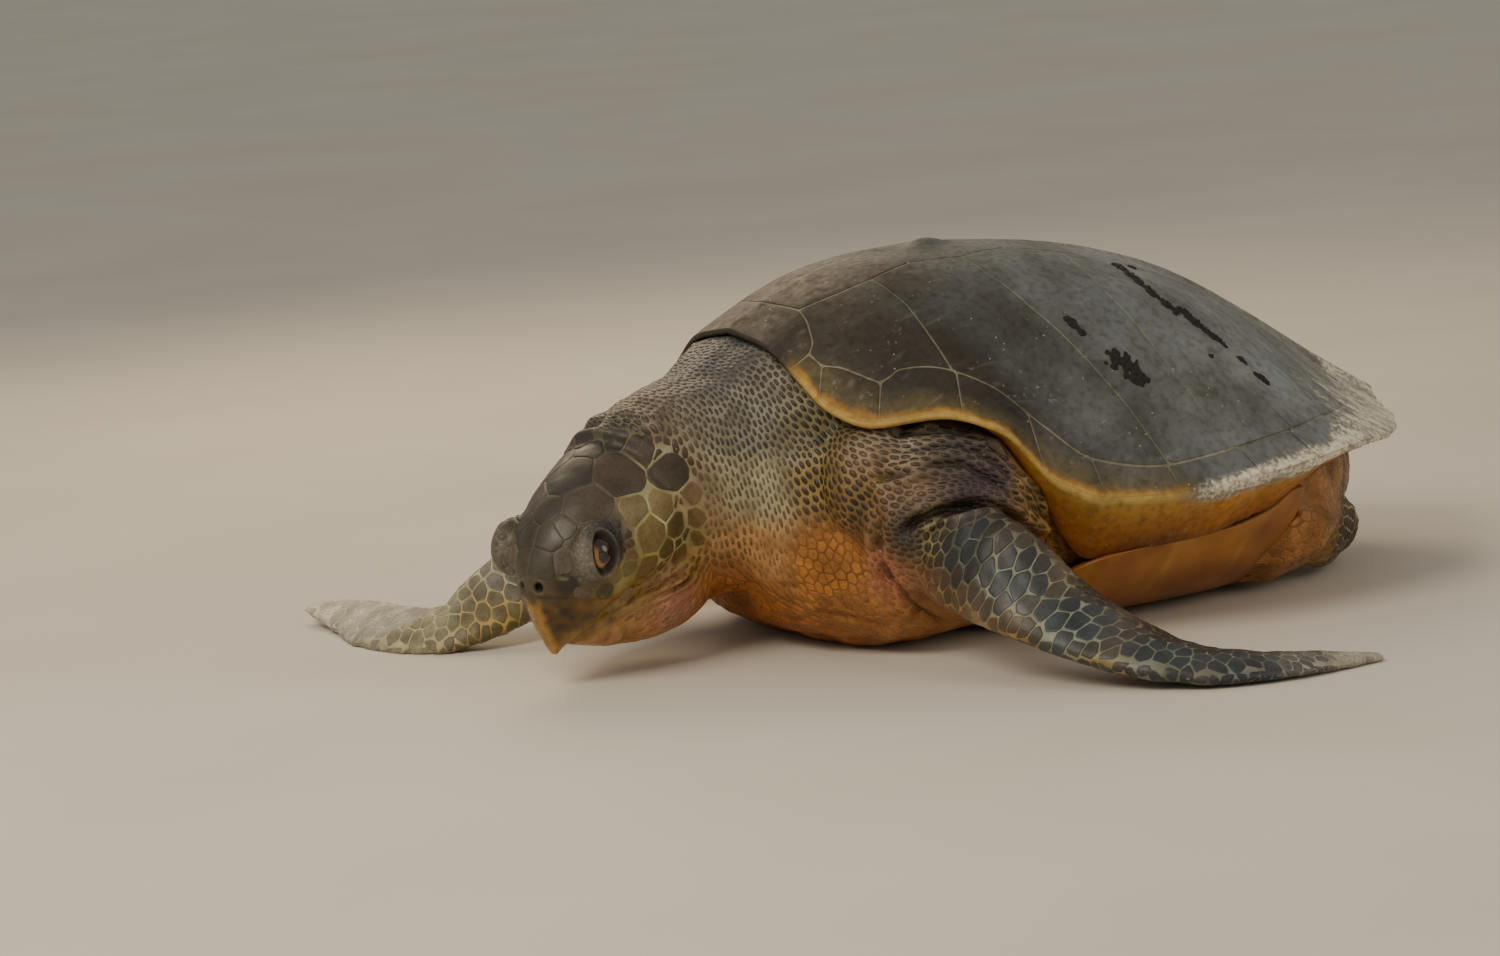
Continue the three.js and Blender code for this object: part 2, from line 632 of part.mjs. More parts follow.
// beak sheath: below a line from under the nostrils to the gape
const beakTop = { p: inHead(0, 47, -13), n: AHEAD.clone().multiplyScalar(0.62).addScaledVector(OVER, -0.80) };
const beakUpper = largest(beyond(head, beakTop));
const headTop = largest(before(head, beakTop));
const jawCut = skullSolid(GAP);
const jawFront = { p: inHead(0, 4, 0), n: AHEAD.clone() };
const jawBody = beyond(jawWhole, headRear).subtract(jawCut);
const jaw = largest(before(jawBody, jawFront));
const beakLower = largest(beyond(jawBody, jawFront));
const eyeLeft = turned(ballGeometry(EYE.radius), 1);
const eyeRight = turned(ballGeometry(EYE.radius), -1);

// ---------------------------------------------------------------- nodes
const COLOURS = {
  shell: 0x4d514c, belly: 0xc08a3c, hide: 0x5a5a52, head: 0x5b5c4a, horn: 0x7a6a3c,
  eye: 0x2a1a10, orange: 0xb9823f,
};
const group = new THREE.Group();
group.name = 'sea_turtle';
function node(name, m, colour, roughness, fine = FINE) {
  const mesh = largest(m.simplify(fine)).getMesh();
  const g = new THREE.BufferGeometry();
  const count = mesh.numProp;
  const xyz = [];
  for (let i = 0; i < mesh.vertProperties.length; i += count) {
    xyz.push(mesh.vertProperties[i], mesh.vertProperties[i + 1], mesh.vertProperties[i + 2]);
  }
  g.setAttribute('position', new THREE.Float32BufferAttribute(xyz, 3));
  g.setIndex(Array.from(mesh.triVerts));
  const material = new THREE.MeshStandardMaterial({ color: colour, roughness, metalness: 0 });
  const out = new THREE.Mesh(g, material);
  out.name = name;
  group.add(out);
}

node('carapace', carapace, COLOURS.shell, 0.5);
node('plastron', plastron, COLOURS.belly, 0.5);
node('trunk', trunkFree, COLOURS.orange, 0.6);
node('neck', neckSide, COLOURS.hide, 0.6);
node('head', headTop, COLOURS.head, 0.5);
node('jaw', jaw, COLOURS.orange, 0.6);
node('beak_upper', beakUpper, COLOURS.horn, 0.35);
node('beak_lower', beakLower, COLOURS.horn, 0.35);
node('eye_left', eyeLeft, COLOURS.eye, 0.1);
node('eye_right', eyeRight, COLOURS.eye, 0.1);
node('front_flipper_left_arm', upperLeft, COLOURS.hide, 0.55);
node('front_flipper_left_blade', bladeLeft, COLOURS.hide, 0.55);
node('front_flipper_right_arm', upperRight, COLOURS.hide, 0.55);
node('front_flipper_right_blade', bladeRight, COLOURS.hide, 0.55);
node('hind_flipper_left', hindLeft, COLOURS.hide, 0.6);
node('hind_flipper_right', hindRight, COLOURS.hide, 0.6);
node('tail', tail, COLOURS.hide, 0.6);

// ---------------------------------------------------------------- placing
// life size, standing on z = 0 with the box centred over the origin
const box = new THREE.Box3();
for (const mesh of group.children) {
  mesh.geometry.scale(LIFE_SCALE, LIFE_SCALE, LIFE_SCALE);
  mesh.geometry.computeBoundingBox();
  box.union(mesh.geometry.boundingBox);
}
const shift = [-(box.min.x + box.max.x) / 2, -(box.min.y + box.max.y) / 2, -box.min.z];
group.userData.shift = shift;
for (const mesh of group.children) {
  mesh.geometry.translate(shift[0], shift[1], shift[2]);
  mesh.geometry.computeVertexNormals();
}

export default group;
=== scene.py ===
"""Olive ridley sea turtle, life size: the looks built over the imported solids.

Lengths in this script are body millimetres unless a name says metres: the
animal before its life scale, with +X its left side, -Y ahead and the floor at
z = 0.  world() turns them to the frame's metres.
"""
import json
import math

import bmesh
import bpy
import numpy as np
from mathutils import Matrix, Vector
from mathutils.bvhtree import BVHTree
from mathutils.kdtree import KDTree

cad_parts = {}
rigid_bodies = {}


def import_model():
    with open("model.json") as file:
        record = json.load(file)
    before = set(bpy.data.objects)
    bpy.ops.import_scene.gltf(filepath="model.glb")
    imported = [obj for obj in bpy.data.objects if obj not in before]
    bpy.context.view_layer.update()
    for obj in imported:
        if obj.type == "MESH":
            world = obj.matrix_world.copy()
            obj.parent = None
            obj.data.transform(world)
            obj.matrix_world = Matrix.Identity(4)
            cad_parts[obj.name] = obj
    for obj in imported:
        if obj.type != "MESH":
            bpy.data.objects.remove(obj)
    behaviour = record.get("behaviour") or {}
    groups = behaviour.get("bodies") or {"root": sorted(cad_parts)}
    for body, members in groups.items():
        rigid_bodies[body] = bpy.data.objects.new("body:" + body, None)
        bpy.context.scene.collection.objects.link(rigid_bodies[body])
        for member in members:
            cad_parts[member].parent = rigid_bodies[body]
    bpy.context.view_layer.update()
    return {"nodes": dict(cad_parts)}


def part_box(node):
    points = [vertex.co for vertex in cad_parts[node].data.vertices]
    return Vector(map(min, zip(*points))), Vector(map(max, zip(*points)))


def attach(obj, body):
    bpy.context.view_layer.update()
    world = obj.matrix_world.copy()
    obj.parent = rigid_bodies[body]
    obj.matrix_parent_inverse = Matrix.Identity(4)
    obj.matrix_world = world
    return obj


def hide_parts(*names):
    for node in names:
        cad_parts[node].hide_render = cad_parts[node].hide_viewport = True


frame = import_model()
rng = np.random.default_rng(7)

# ------------------------------------------------------------------ body frame
LIFE = 0.97e-3                      # metres of the life-size model per body mm
HEAD_AT = np.array((22.0, -515.0, 117.5))
HEAD_YAW = math.radians(21)
HEAD_PITCH = math.radians(28)
LEFT = np.array((math.cos(HEAD_YAW), math.sin(HEAD_YAW), 0.0))
LEVEL = np.array((math.sin(HEAD_YAW), -math.cos(HEAD_YAW), 0.0))
AHEAD = LEVEL * math.cos(HEAD_PITCH) - np.array((0, 0, math.sin(HEAD_PITCH)))
OVER = LEVEL * math.sin(HEAD_PITCH) + np.array((0, 0, math.cos(HEAD_PITCH)))
EYE_OUT = 43.0                      # from the head's middle to the eye's centre
EYE_R = 16.5


def in_head(left, ahead, up):
    """A body place from a place in the head's own frame, between the eyes."""
    return HEAD_AT + left * LEFT + ahead * AHEAD + up * OVER


def head_frame(p):
    """Places in the head's own frame: left, ahead, up."""
    d = np.asarray(p) - HEAD_AT
    return np.stack((d @ LEFT, d @ AHEAD, d @ OVER), -1)


low, high = (np.array(c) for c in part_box("eye_left"))
SHIFT = (low + high) / 2 - LIFE * in_head(EYE_OUT, 0, 0)


def world(p):
    """Body millimetres as metres of the frame."""
    return np.asarray(p, float) * LIFE + SHIFT


def body(p):
    """Metres of the frame as body millimetres."""
    return (np.asarray(p, float) - SHIFT) / LIFE


# ------------------------------------------------------------------ small tools
def srgb(code):
    """A hex colour as linear red, green and blue."""
    parts = [int(code[i:i + 2], 16) / 255 for i in (1, 3, 5)]
    return np.array([c / 12.92 if c <= 0.04045 else ((c + 0.055) / 1.055) ** 2.4 for c in parts])


def rgba(code):
    return (*srgb(code), 1.0)


def smooth_step(a, b, x):
    """0 at a, 1 at b and smooth between, whichever of the two is larger."""
    t = np.clip((np.asarray(x, float) - a) / (b - a), 0, 1)
    return t * t * (3 - 2 * t)


def through(at, values, t):
    """Smooth curve through a short table of stations, with no overshoot."""
    at = np.asarray(at, float)
    values = np.asarray(values, float)
    t = np.clip(np.asarray(t, float), at[0], at[-1])
    h = np.diff(at)
    rise = np.diff(values) / h
    slope = np.empty_like(values)
    slope[0], slope[-1] = rise[0], rise[-1]
    a, b = rise[:-1], rise[1:]
    both = a * b > 0
    slope[1:-1] = np.where(both, 2 * a * b / np.where(both, a + b, 1), 0)
    i = np.clip(np.searchsorted(at, t, side="right") - 1, 0, len(h) - 1)
    u = (t - at[i]) / h[i]
    u2, u3 = u * u, u * u * u
    return ((2 * u3 - 3 * u2 + 1) * values[i] + (u3 - 2 * u2 + u) * slope[i] * h[i]
            + (3 * u2 - 2 * u3) * values[i + 1] + (u3 - u2) * slope[i + 1] * h[i])


def station(table, column, t):
    """A column of a table at t, on the smooth curve through its stations."""
    return through(table["at"], table[column], t)


def unit(v):
    v = np.asarray(v, float)
    return v / np.maximum(np.linalg.norm(v, axis=-1, keepdims=True), 1e-12)


def waves(p, length, seed):
    """Smooth noise about -1 to 1 from a few sines, with that wave length."""
    pick = np.random.default_rng(seed)
    total = np.zeros(len(p))
    for _ in range(7):
        k = unit(pick.normal(size=3)) * (2 * math.pi / length) * pick.uniform(0.7, 1.6)
        total += np.sin(p @ k + pick.uniform(0, 6.28))
    return total / 3.2


def mesh_arrays(mesh):
    """Vertex places in metres, vertex normals and edges of a mesh."""
    n = len(mesh.vertices)
    co = np.empty(n * 3)
    mesh.vertices.foreach_get("co", co)
    normal = np.empty(n * 3)
    mesh.vertices.foreach_get("normal", normal)
    edges = np.empty(len(mesh.edges) * 2, dtype=np.int64)
    mesh.edges.foreach_get("vertices", edges)
    return co.reshape(-1, 3), normal.reshape(-1, 3), edges.reshape(-1, 2)


def set_places(mesh, co):
    mesh.vertices.foreach_set("co", np.asarray(co, np.float32).ravel())
    mesh.update()


def new_object(name, mesh):
    piece = bpy.data.objects.new(name, mesh)
    bpy.context.scene.collection.objects.link(piece)
    return piece


def mesh_from(name, places, faces):
    """A mesh piece from arrays of places in metres and of faces."""
    mesh = bpy.data.meshes.new(name)
    mesh.from_pydata(np.asarray(places, float).tolist(), [], faces)
    mesh.update()
    return new_object(name, mesh)


def face_outwards(piece, sheet_depth=0.0):
    """Turns the faces outwards, after an open sheet is closed with a depth in metres."""
    bm = bmesh.new()
    bm.from_mesh(piece.data)
    if sheet_depth:
        bmesh.ops.delete(bm, geom=[v for v in bm.verts if not v.link_faces], context="VERTS")
        bm.normal_update()
        bmesh.ops.solidify(bm, geom=bm.faces[:], thickness=sheet_depth)
    bmesh.ops.recalc_face_normals(bm, faces=bm.faces)
    bm.to_mesh(piece.data)
    bm.free()


def paint(piece, name, values):
    """A colour attribute with one linear colour for each vertex."""
    layer = piece.data.color_attributes.new(name, "FLOAT_COLOR", "POINT")
    full = np.ones((len(values), 4), np.float32)
    full[:, :3] = values
    layer.data.foreach_set("color", full.ravel())


def finish_piece(piece, material, replaces=()):
    piece.data.materials.clear()
    piece.data.materials.append(material)
    piece.data.polygons.foreach_set("use_smooth", [True] * len(piece.data.polygons))
    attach(piece, "root")
    if replaces:
        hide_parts(*replaces)


def relax(co, edges, rounds, shrink=0.5, swell=-0.52, weight=None):
    """Evens a mesh out without losing its size: a smoothing step, then one back."""
    n = len(co)
    count = np.maximum(np.bincount(edges.ravel(), minlength=n), 1)[:, None]
    a, b = edges[:, 0], edges[:, 1]
    for i in range(rounds * 2):
        total = np.empty_like(co)
        for k in range(3):
            total[:, k] = (np.bincount(a, co[b, k], n) + np.bincount(b, co[a, k], n))
        step = (total / count - co) * (shrink if i % 2 == 0 else swell)
        co = co + (step if weight is None else step * weight[:, None])
    return co


def copy_of(node, grow=0.0):
    """A bmesh copy of a CAD node with its loose triangles merged, in metres."""
    bm = bmesh.new()
    bm.from_mesh(frame["nodes"][node].data)
    bmesh.ops.remove_doubles(bm, verts=bm.verts, dist=1e-6)
    bm.normal_update()
    if grow:
        for v in bm.verts:
            v.co += v.normal * grow
    return bm


def remeshed(name, nodes, voxel, grow=0.0):
    """One closed skin over copies of several nodes, as a new object."""
    joined = bmesh.new()
    for node in nodes:
        part = copy_of(node, grow)
        mesh = bpy.data.meshes.new("part")
        part.to_mesh(mesh)
        joined.from_mesh(mesh)
        part.free()
        bpy.data.meshes.remove(mesh)
    mesh = bpy.data.meshes.new(name + "_raw")
    joined.to_mesh(mesh)
    joined.free()
    raw = new_object(name + "_raw", mesh)
    remesh = raw.modifiers.new("voxels", "REMESH")
    remesh.mode = "VOXEL"
    remesh.voxel_size = voxel
    done = bpy.data.meshes.new_from_object(raw.evaluated_get(bpy.context.evaluated_depsgraph_get()))
    bpy.data.objects.remove(raw)
    bpy.data.meshes.remove(mesh)
    return new_object(name, done)


# ------------------------------------------------------------------ materials
def material(name):
    made = bpy.data.materials.new(name)
    made.use_nodes = True
    tree = made.node_tree
    return made, tree, tree.nodes["Principled BSDF"]


def add(tree, kind, links=None, **settings):
    """A node with its settings, and links given as input name to socket."""
    node = tree.nodes.new(kind)
    for key, value in settings.items():
        setattr(node, key, value)
    for key, source in (links or {}).items():
        if hasattr(source, "is_output"):
            tree.links.new(source, node.inputs[key])
        else:
            node.inputs[key].default_value = source
    return node


def object_places(tree):
    return add(tree, "ShaderNodeTexCoord").outputs["Object"]


def per_metre(millimetres):
    """Texture scale for a pattern whose cells are that many millimetres wide."""
    return 1000.0 / millimetres


def noise(tree, size, detail=3.0, vector=None):
    return add(tree, "ShaderNodeTexNoise", {
        "Vector": vector or object_places(tree), "Scale": per_metre(size), "Detail": detail})


def ramp(tree, source, a, b, low=0.0, high=1.0):
    """A value held to low below a and to high above b."""
    return add(tree, "ShaderNodeMapRange", {
        "Value": source, "From Min": a, "From Max": b, "To Min": low, "To Max": high}).outputs[0]


def maths(tree, kind, a, b):
    """Two values added or multiplied, as kind says."""
    return add(tree, "ShaderNodeMath", {0: a, 1: b}, operation=kind).outputs[0]


def tint(tree, kind, factor, a, b):
    mix = add(tree, "ShaderNodeMix", data_type="RGBA", blend_type=kind)
    for index, source in ((0, factor), (6, a), (7, b)):
        if hasattr(source, "is_output"):
            tree.links.new(source, mix.inputs[index])
        else:
            mix.inputs[index].default_value = source
    return mix.outputs[2]


def bump(tree, height, strength, distance, under=None):
    links = {"Height": height, "Strength": strength, "Distance": distance}
    if under is not None:
        links["Normal"] = under
    return add(tree, "ShaderNodeBump", links).outputs["Normal"]


# the vertex colours: the body's own colours, with painted shade in its folds, holes and seams
def pigment_and_shade(tree):
    return add(tree, "ShaderNodeVertexColor", layer_name="pigment_and_shade").outputs["Color"]


def wire(tree, shader, **sockets):
    for key, source in sockets.items():
        target = shader.inputs[key.replace("_", " ")]
        if hasattr(source, "is_output"):
            tree.links.new(source, target)
        else:
            target.default_value = source


# ------------------------------------------------------------------ shell shape
APEX_Y, APEX_Z = -112.0, 328.0
KEEL_RISE = 4.0                     # the ridge along the shell's rear half
KNOB_RISE = 6.0                     # the low knob where the ridge begins
KNOB_Y = -115.0
RIM_EDGE = 4.5                      # thickness of the rim's edge
SERRATION = 7.0                     # how far the rear rim plates stand out
CHIP = 5.5                          # how deep the worn rear rim is chipped
SHELL_T = 10.0                      # thickness of the shell
RIM = {
    "at": (0, .06, .105, .145, .195, .25, .30, .355, .42, .50, .58, .66, .74, .82, .90, .965, 1),
    "x": (0, 58, 98, 132, 168, 203, 229, 251, 270, 288, 294, 287, 265, 221, 138, 46, 0),
    "y": (-320, -318, -314, -307, -282, -238, -196, -153, -115, -57, 10, 78, 146, 214, 288, 351, 362),
    "z": (279, 269, 246, 222, 206, 211, 196, 145, 128, 126, 130, 134, 138, 134, 124, 121, 143),
    "smooth": (274, 264, 248, 231, 216, 202, 182, 160, 140, 130, 130, 134, 138, 134, 126, 126, 140),
}
FALL = {
    "at": (0, .12, .25, .40, .60, .80, 1),
    "power": (2.7, 2.6, 2.4, 2.4, 2.3, 2.1, 1.93),
    "flare": (0, .01, .02, .04, .05, .06, .05),
}
LIP = {
    "at": (0, .25, .33, .42, .50, .58, .66, .70, .75, .80, .86, 1),
    "inward": (20, 22, 28, 42, 44, 45, 42, 38, 34, 32, 30, 26),
    "down": (-3, 2, 18, 56, 50, 51, 43, 34, 16, 4, -4, -5),
}


def rim_at(q, side):
    return np.stack((station(RIM, "x", q) * side,
                     station(RIM, "y", q), station(RIM, "z", q)), -1)


def plate_point(q):
    """How far each rear rim plate stands out along its edge."""
    plate = (q - 0.04) / 0.96 * 12
    within = plate - np.floor(plate)
    rear = np.clip((q - 0.60) / 0.2, 0, 1)
    return rear * within ** 2.2 * (1 - within ** 14)


def from_apex(rim):
    flat = rim.copy()
    flat[:, 1] -= APEX_Y
    flat[:, 2] = 0
    return unit(flat)


def shell_point(q, side, r, drop=0.0):
    """The shell's top: q runs round the rim from nape to tail, r out from the apex."""
    q, side, r = (np.asarray(v, float) for v in np.broadcast_arrays(q, side, r))
    rim = rim_at(q, side)
    push = SERRATION * (plate_point(q) - 0.4) * r ** 10 * (q > 0.6)
    push = push - CHIP * np.maximum(waves(rim * (1, 1, 0), 13, 71), -0.2) * r ** 60 * smooth_step(
        0.58, 0.68, q)
    rim = rim + from_apex(rim) * push[:, None]
    t = np.maximum(0, (r - 0.5) / 0.5)
    fall = r ** station(FALL, "power", q)
    fall = fall + station(FALL, "flare", q) * t * t * (1 - t) * 6.75
    x = rim[:, 0] * r
    y = APEX_Y + (rim[:, 1] - APEX_Y) * r
    back = np.clip((y + 60) / 160, 0, 1)
    ridge = KEEL_RISE * back * np.exp(-((x / 16) ** 2)) * (1 - r ** 8)
    edge_low = station(RIM, "smooth", q)
    knob = KNOB_RISE * np.exp(-((x - 4) / 13) ** 2 - ((y - KNOB_Y) / 18) ** 2)
    z = APEX_Z + (edge_low - APEX_Z) * fall + (rim[:, 2] - edge_low) * r ** 7 + ridge + knob - drop
    return np.stack((x, y, z), -1)


def under_rim(q, side, share):
    p = shell_point(q, side, np.ones_like(q))
    out = from_apex(p)
    p = p - out * (station(LIP, "inward", q) * share)[:, None]
    p[:, 2] -= RIM_EDGE + (station(LIP, "down", q) - RIM_EDGE) * share
    return p


def inner_shell(q, side, r):
    lip = under_rim(q, side, np.ones_like(q))
    rim = rim_at(q, side)
    p = shell_point(q, side, r, SHELL_T + 4 * r)
    reach = np.hypot(lip[:, 0], lip[:, 1] - APEX_Y) / np.hypot(rim[:, 0], rim[:, 1] - APEX_Y)
    f = np.minimum(1, reach * 0.992)
    p[:, 0] *= f
    p[:, 1] = APEX_Y + (p[:, 1] - APEX_Y) * f
    if r > 0.85:
        p[:, 2] += (lip[:, 2] - p[:, 2]) * 0.35
    return p


TURN_Q = np.linspace(0, 1, 801)
TURN_RIM = rim_at(TURN_Q, 1)
TURN_ANGLE = np.unwrap(np.arctan2(TURN_RIM[:, 1] - APEX_Y, TURN_RIM[:, 0]))
TURN_REACH = np.hypot(TURN_RIM[:, 0], TURN_RIM[:, 1] - APEX_Y)


def shell_place(plan):
    """q, side and r of places seen from above."""
    x, y = plan[:, 0], plan[:, 1] - APEX_Y
    side = np.where(x < 0, -1.0, 1.0)
    q = np.interp(np.arctan2(y, np.abs(x)), TURN_ANGLE, TURN_Q)
    return q, side, np.hypot(x, y) / np.interp(q, TURN_Q, TURN_REACH)


def shell_top(plan):
    """Places on the shell's top over places seen from above, and its normals there."""
    def lift(p):
        q, side, r = shell_place(p)
        return np.column_stack((p, shell_point(q, side, np.minimum(r, 1.0))[:, 2]))
    step = 0.8
    here = lift(plan)
    across = lift(plan + (step, 0)) - lift(plan - (step, 0))
    along = lift(plan + (0, step)) - lift(plan - (0, step))
    normal = unit(np.cross(across, along))
    return here, normal


def ring_faces(rings, n, start=0):
    """Side faces of a stack of closed rings with n places each, with both ends open."""
    faces = []
    for a in range(start, start + (rings - 1) * n, n):
        for j in range(n):
            k = (j + 1) % n
            faces.append((a + j, a + k, a + n + k, a + n + j))
    return faces


# ------------------------------------------------------------------ shell colours
SLATE = srgb("#65696a")
GREY_SLATE = srgb("#7b8081")
OLIVE_SLATE = srgb("#352f23")
BLEACH_AND_SHEEN = srgb("#97948a")
GOLD_BAND = srgb("#b8862a")
CREAM_EDGE = srgb("#cdb268")
OCHRE = srgb("#b06c16")
OLIVE_GOLD = srgb("#6f6138")
GOLD_UNDER = srgb("#c8953c")
SEAM = srgb("#8f8a74")
NAPE_RIM_SHADE = srgb("#3a3022")


def mixed(a, b, t):
    """Colour b over colour a, by as much as t says at each place."""
    t = np.asarray(t, float)[:, None]
    return a * (1 - t) + b * t


def shell_wear(q, r, x, y):
    """How far the shell's surface is worn away: 0 whole, 1 bare pale rim."""
    from_rim = (1 - r) * np.interp(q, TURN_Q, TURN_REACH)
    p = np.column_stack((x, y, np.zeros_like(x)))
    reach = 3 + 6 * smooth_step(0.5, 0.68, q) + 52 * smooth_step(0.68, 0.92, q)
    reach = reach * (1 + 0.25 * waves(p, 60, 3))
    return smooth_step(1.9, 0.1, from_rim / reach) * smooth_step(0.48, 0.56, q)


def shell_paint(q, r, x, y):
    """The shell's colour: slate plates, olive ahead, greyer behind, a gold front rim; the darkening ahead
    and paling behind are partly painted light falling from behind.
    """
    from_rim = (1 - r) * np.interp(q, TURN_Q, TURN_REACH)
    p = np.column_stack((x, y, np.zeros_like(x)))
    wander = waves(p, 90, 3)
    fine = waves(p, 22, 4)
    # darker and olive ahead, paler and greyer behind and on the rear keel: partly the shell's own tone
    # and bleaching, partly painted light and sheen from light falling from behind
    colour = mixed(SLATE, GREY_SLATE, smooth_step(-90, 110, y + 24 * wander))
    ahead = smooth_step(-105, -265, y - 0.25 * np.abs(x) + 30 * wander)
    colour = mixed(colour, OLIVE_SLATE, ahead * 0.95)
    colour = mixed(colour, BLEACH_AND_SHEEN, smooth_step(130, 230, y + 10 * fine + 20 * wander) * 0.45)
    keel = smooth_step(36, 8, np.abs(x) + 8 * wander) * smooth_step(-40, 60, y)
    colour = mixed(colour, BLEACH_AND_SHEEN, keel * 0.3)
    front = smooth_step(0.085, 0.12, q) * (1 - smooth_step(0.50, 0.54, q))
    width = 1 + 0.35 * smooth_step(0.30, 0.16, q)
    haze = smooth_step(26, 6, from_rim / width + 3.0 * fine) * front
    colour = mixed(colour, OLIVE_GOLD, haze * 0.6)
    band = smooth_step(6.2, 2.0, from_rim / width + 1.0 * fine) * front
    colour = mixed(colour, GOLD_BAND, band * 0.9)
    colour = mixed(colour, CREAM_EDGE, smooth_step(3.0, 1.0, from_rim + 0.4 * fine) * front * 0.6)
    # painted shade: the rim's edge over the neck is darkened
    nape_rim_shade = smooth_step(3.0, 1.2, from_rim) * smooth_step(0.12, 0.06, q)
    return mixed(colour, NAPE_RIM_SHADE, nape_rim_shade * 0.8)


def grey_of(values):
    return np.repeat(np.asarray(values, float)[:, None], 3, axis=1)


# ------------------------------------------------------------------ shell base
BASE_STEPS = 500                    # places round the shell


def build_shell_base():
    """The shell under its plates: smooth, closed, with the pale seam colour."""
    half = BASE_STEPS // 2
    j = np.arange(BASE_STEPS)
    side = np.where(j <= half, 1.0, -1.0)
    u = np.where(j <= half, j / half, (BASE_STEPS - j) / half)
    q = u + (u ** 0.8 - u) * u
    whole = np.ones_like(q)
    wear = []
    outer = np.concatenate((np.linspace(0.02, 0.8, 34), np.linspace(0.815, 1, 20)))
    rings, colours = [], []
    for r in outer:
        p = shell_point(q, side, whole * r, 0.15 * float(smooth_step(0.99, 0.96, r)))
        rings.append(p)
        near = shell_paint(q, whole * r, p[:, 0], p[:, 1])
        wear.append(shell_wear(q, whole * r, p[:, 0], p[:, 1]))
        edge = smooth_step(0.94, 1.0, r)
        colours.append(near * edge + mixed(SEAM, near, whole * 0.25) * (1 - edge))
    for share in (0.02, 0.06, 0.15, 0.3, 0.5, 0.75, 1):
        p = under_rim(q, side, whole * share)
        rings.append(p)
        top = colours[len(outer) - 1]
        below = mixed(GOLD_UNDER, OCHRE, whole * smooth_step(0.05, 0.7, share))
        # under the rim: gold and ochre, with painted shade over the neck
        under = mixed(np.tile(NAPE_RIM_SHADE, (BASE_STEPS, 1)), below, smooth_step(0.07, 0.125, q))
        colours.append(mixed(top, under, whole * smooth_step(0, 0.12, share)))
        wear.append(wear[len(outer) - 1] * float(smooth_step(0.3, 0.04, share)))
    for r in (0.9, 0.7, 0.4, 0.03):
        rings.append(inner_shell(q, side, r))
        wear.append(whole * 0)
        colours.append(np.tile(OCHRE, (BASE_STEPS, 1)))
    places = np.concatenate(rings)
    faces = ring_faces(len(rings), BASE_STEPS)
    last = len(places) - BASE_STEPS
    faces.append(tuple(range(BASE_STEPS))[::-1])
    faces.append(tuple(range(last, last + BASE_STEPS)))
    piece = mesh_from("shell_base", world(places), faces)
    face_outwards(piece)
    paint(piece, "pigment_and_shade", np.concatenate(colours))
    paint(piece, "wear", grey_of(np.concatenate(wear)))
    return piece


# ------------------------------------------------------------------ shell plates
# costal seams from the vertebral plates out to the rim plates, left side
COSTAL_SEAMS = (
    ((63, -209), (109, -205), (143, -206), (172, -203)),
    ((66, -118), (105, -116), (151, -106), (191, -88), (233, -68), (264, -56)),
    ((62, -14), (114, -25), (152, -26), (200, -15), (245, 0), (274, 10)),
    ((60, 56), (110, 46), (155, 42), (200, 54), (240, 74), (266, 90)),
    ((56, 118), (105, 108), (150, 104), (183, 122), (213, 148), (238, 164)),
    ((46, 186), (82, 180), (118, 186), (156, 206), (182, 224)),
    ((34, 242), (60, 248), (92, 266), (114, 282)),
)
# the line between vertebral and costal plates, nape to tail
VERTEBRAL_LINE = (
    (49, -276), (59, -241), (63, -209), (55, -165), (66, -118), (56, -66), (62, -14), (53, 22),
    (60, 56), (50, 88), (56, 118), (43, 152), (46, 186), (36, 216), (34, 242), (26, 276), (18, 306),
)
VERTEBRAL_SEAMS_Y = (-165, -66, 22, 88, 152, 216)
NUCHAL_BACK = ((49, -276), (66, -279), (89, -288), (94, -296))
FIRST_RIM_SEAM = ((109, -293), (121, -283), (152, -262), (154, -252))
RIM_SEAMS_Q = (0.098, 0.138, 0.20, 0.27, 0.34, 0.415, 0.505, 0.60, 0.68, 0.76, 0.84, 0.92, 1.0)
INNER_RIM = {
    "at": (0, .098, .17, .20, .245, .33, .42, .50, .60, .75, .90, 1),
    "r": (.86, .915, .895, .862, .838, .868, .925, .94, .93, .915, .895, .86),
}
SEAM_GAP = 1.4                      # between two plates
RIM_GAP = 0.5                       # from a rim plate to the shell's edge


def plan_of(q, r):
    rim = rim_at(np.atleast_1d(np.asarray(q, float)), 1)[:, :2]
    return np.array((0, APEX_Y)) + (rim - (0, APEX_Y)) * np.atleast_1d(r)[:, None]


def rim_line(q0, q1, steps=24):
    """The inner edge of the rim plates between two places round the rim."""
    q = np.linspace(q0, q1, steps)
    return [tuple(p) for p in plan_of(q, station(INNER_RIM, "r", q))]


def q_of(place):
    return float(shell_place(np.array([place], float))[0][0])


def line_between(line, y0, y1):
    return [p for p in line if y0 <= p[1] <= y1]


def resample(outline, spacing):
    """Even places round a closed outline, with its corners slightly rounded."""
    p = np.asarray(outline, float)
    closed = np.vstack((p, p[:1]))
    length = np.concatenate(([0], np.cumsum(np.linalg.norm(np.diff(closed, axis=0), axis=1))))
    n = max(40, int(length[-1] / spacing))
    s = np.linspace(0, length[-1], n, endpoint=False)
    even = np.column_stack([np.interp(s, length, closed[:, k]) for k in (0, 1)])
    return even * 0.6 + (np.roll(even, 1, 0) + np.roll(even, -1, 0)) * 0.2


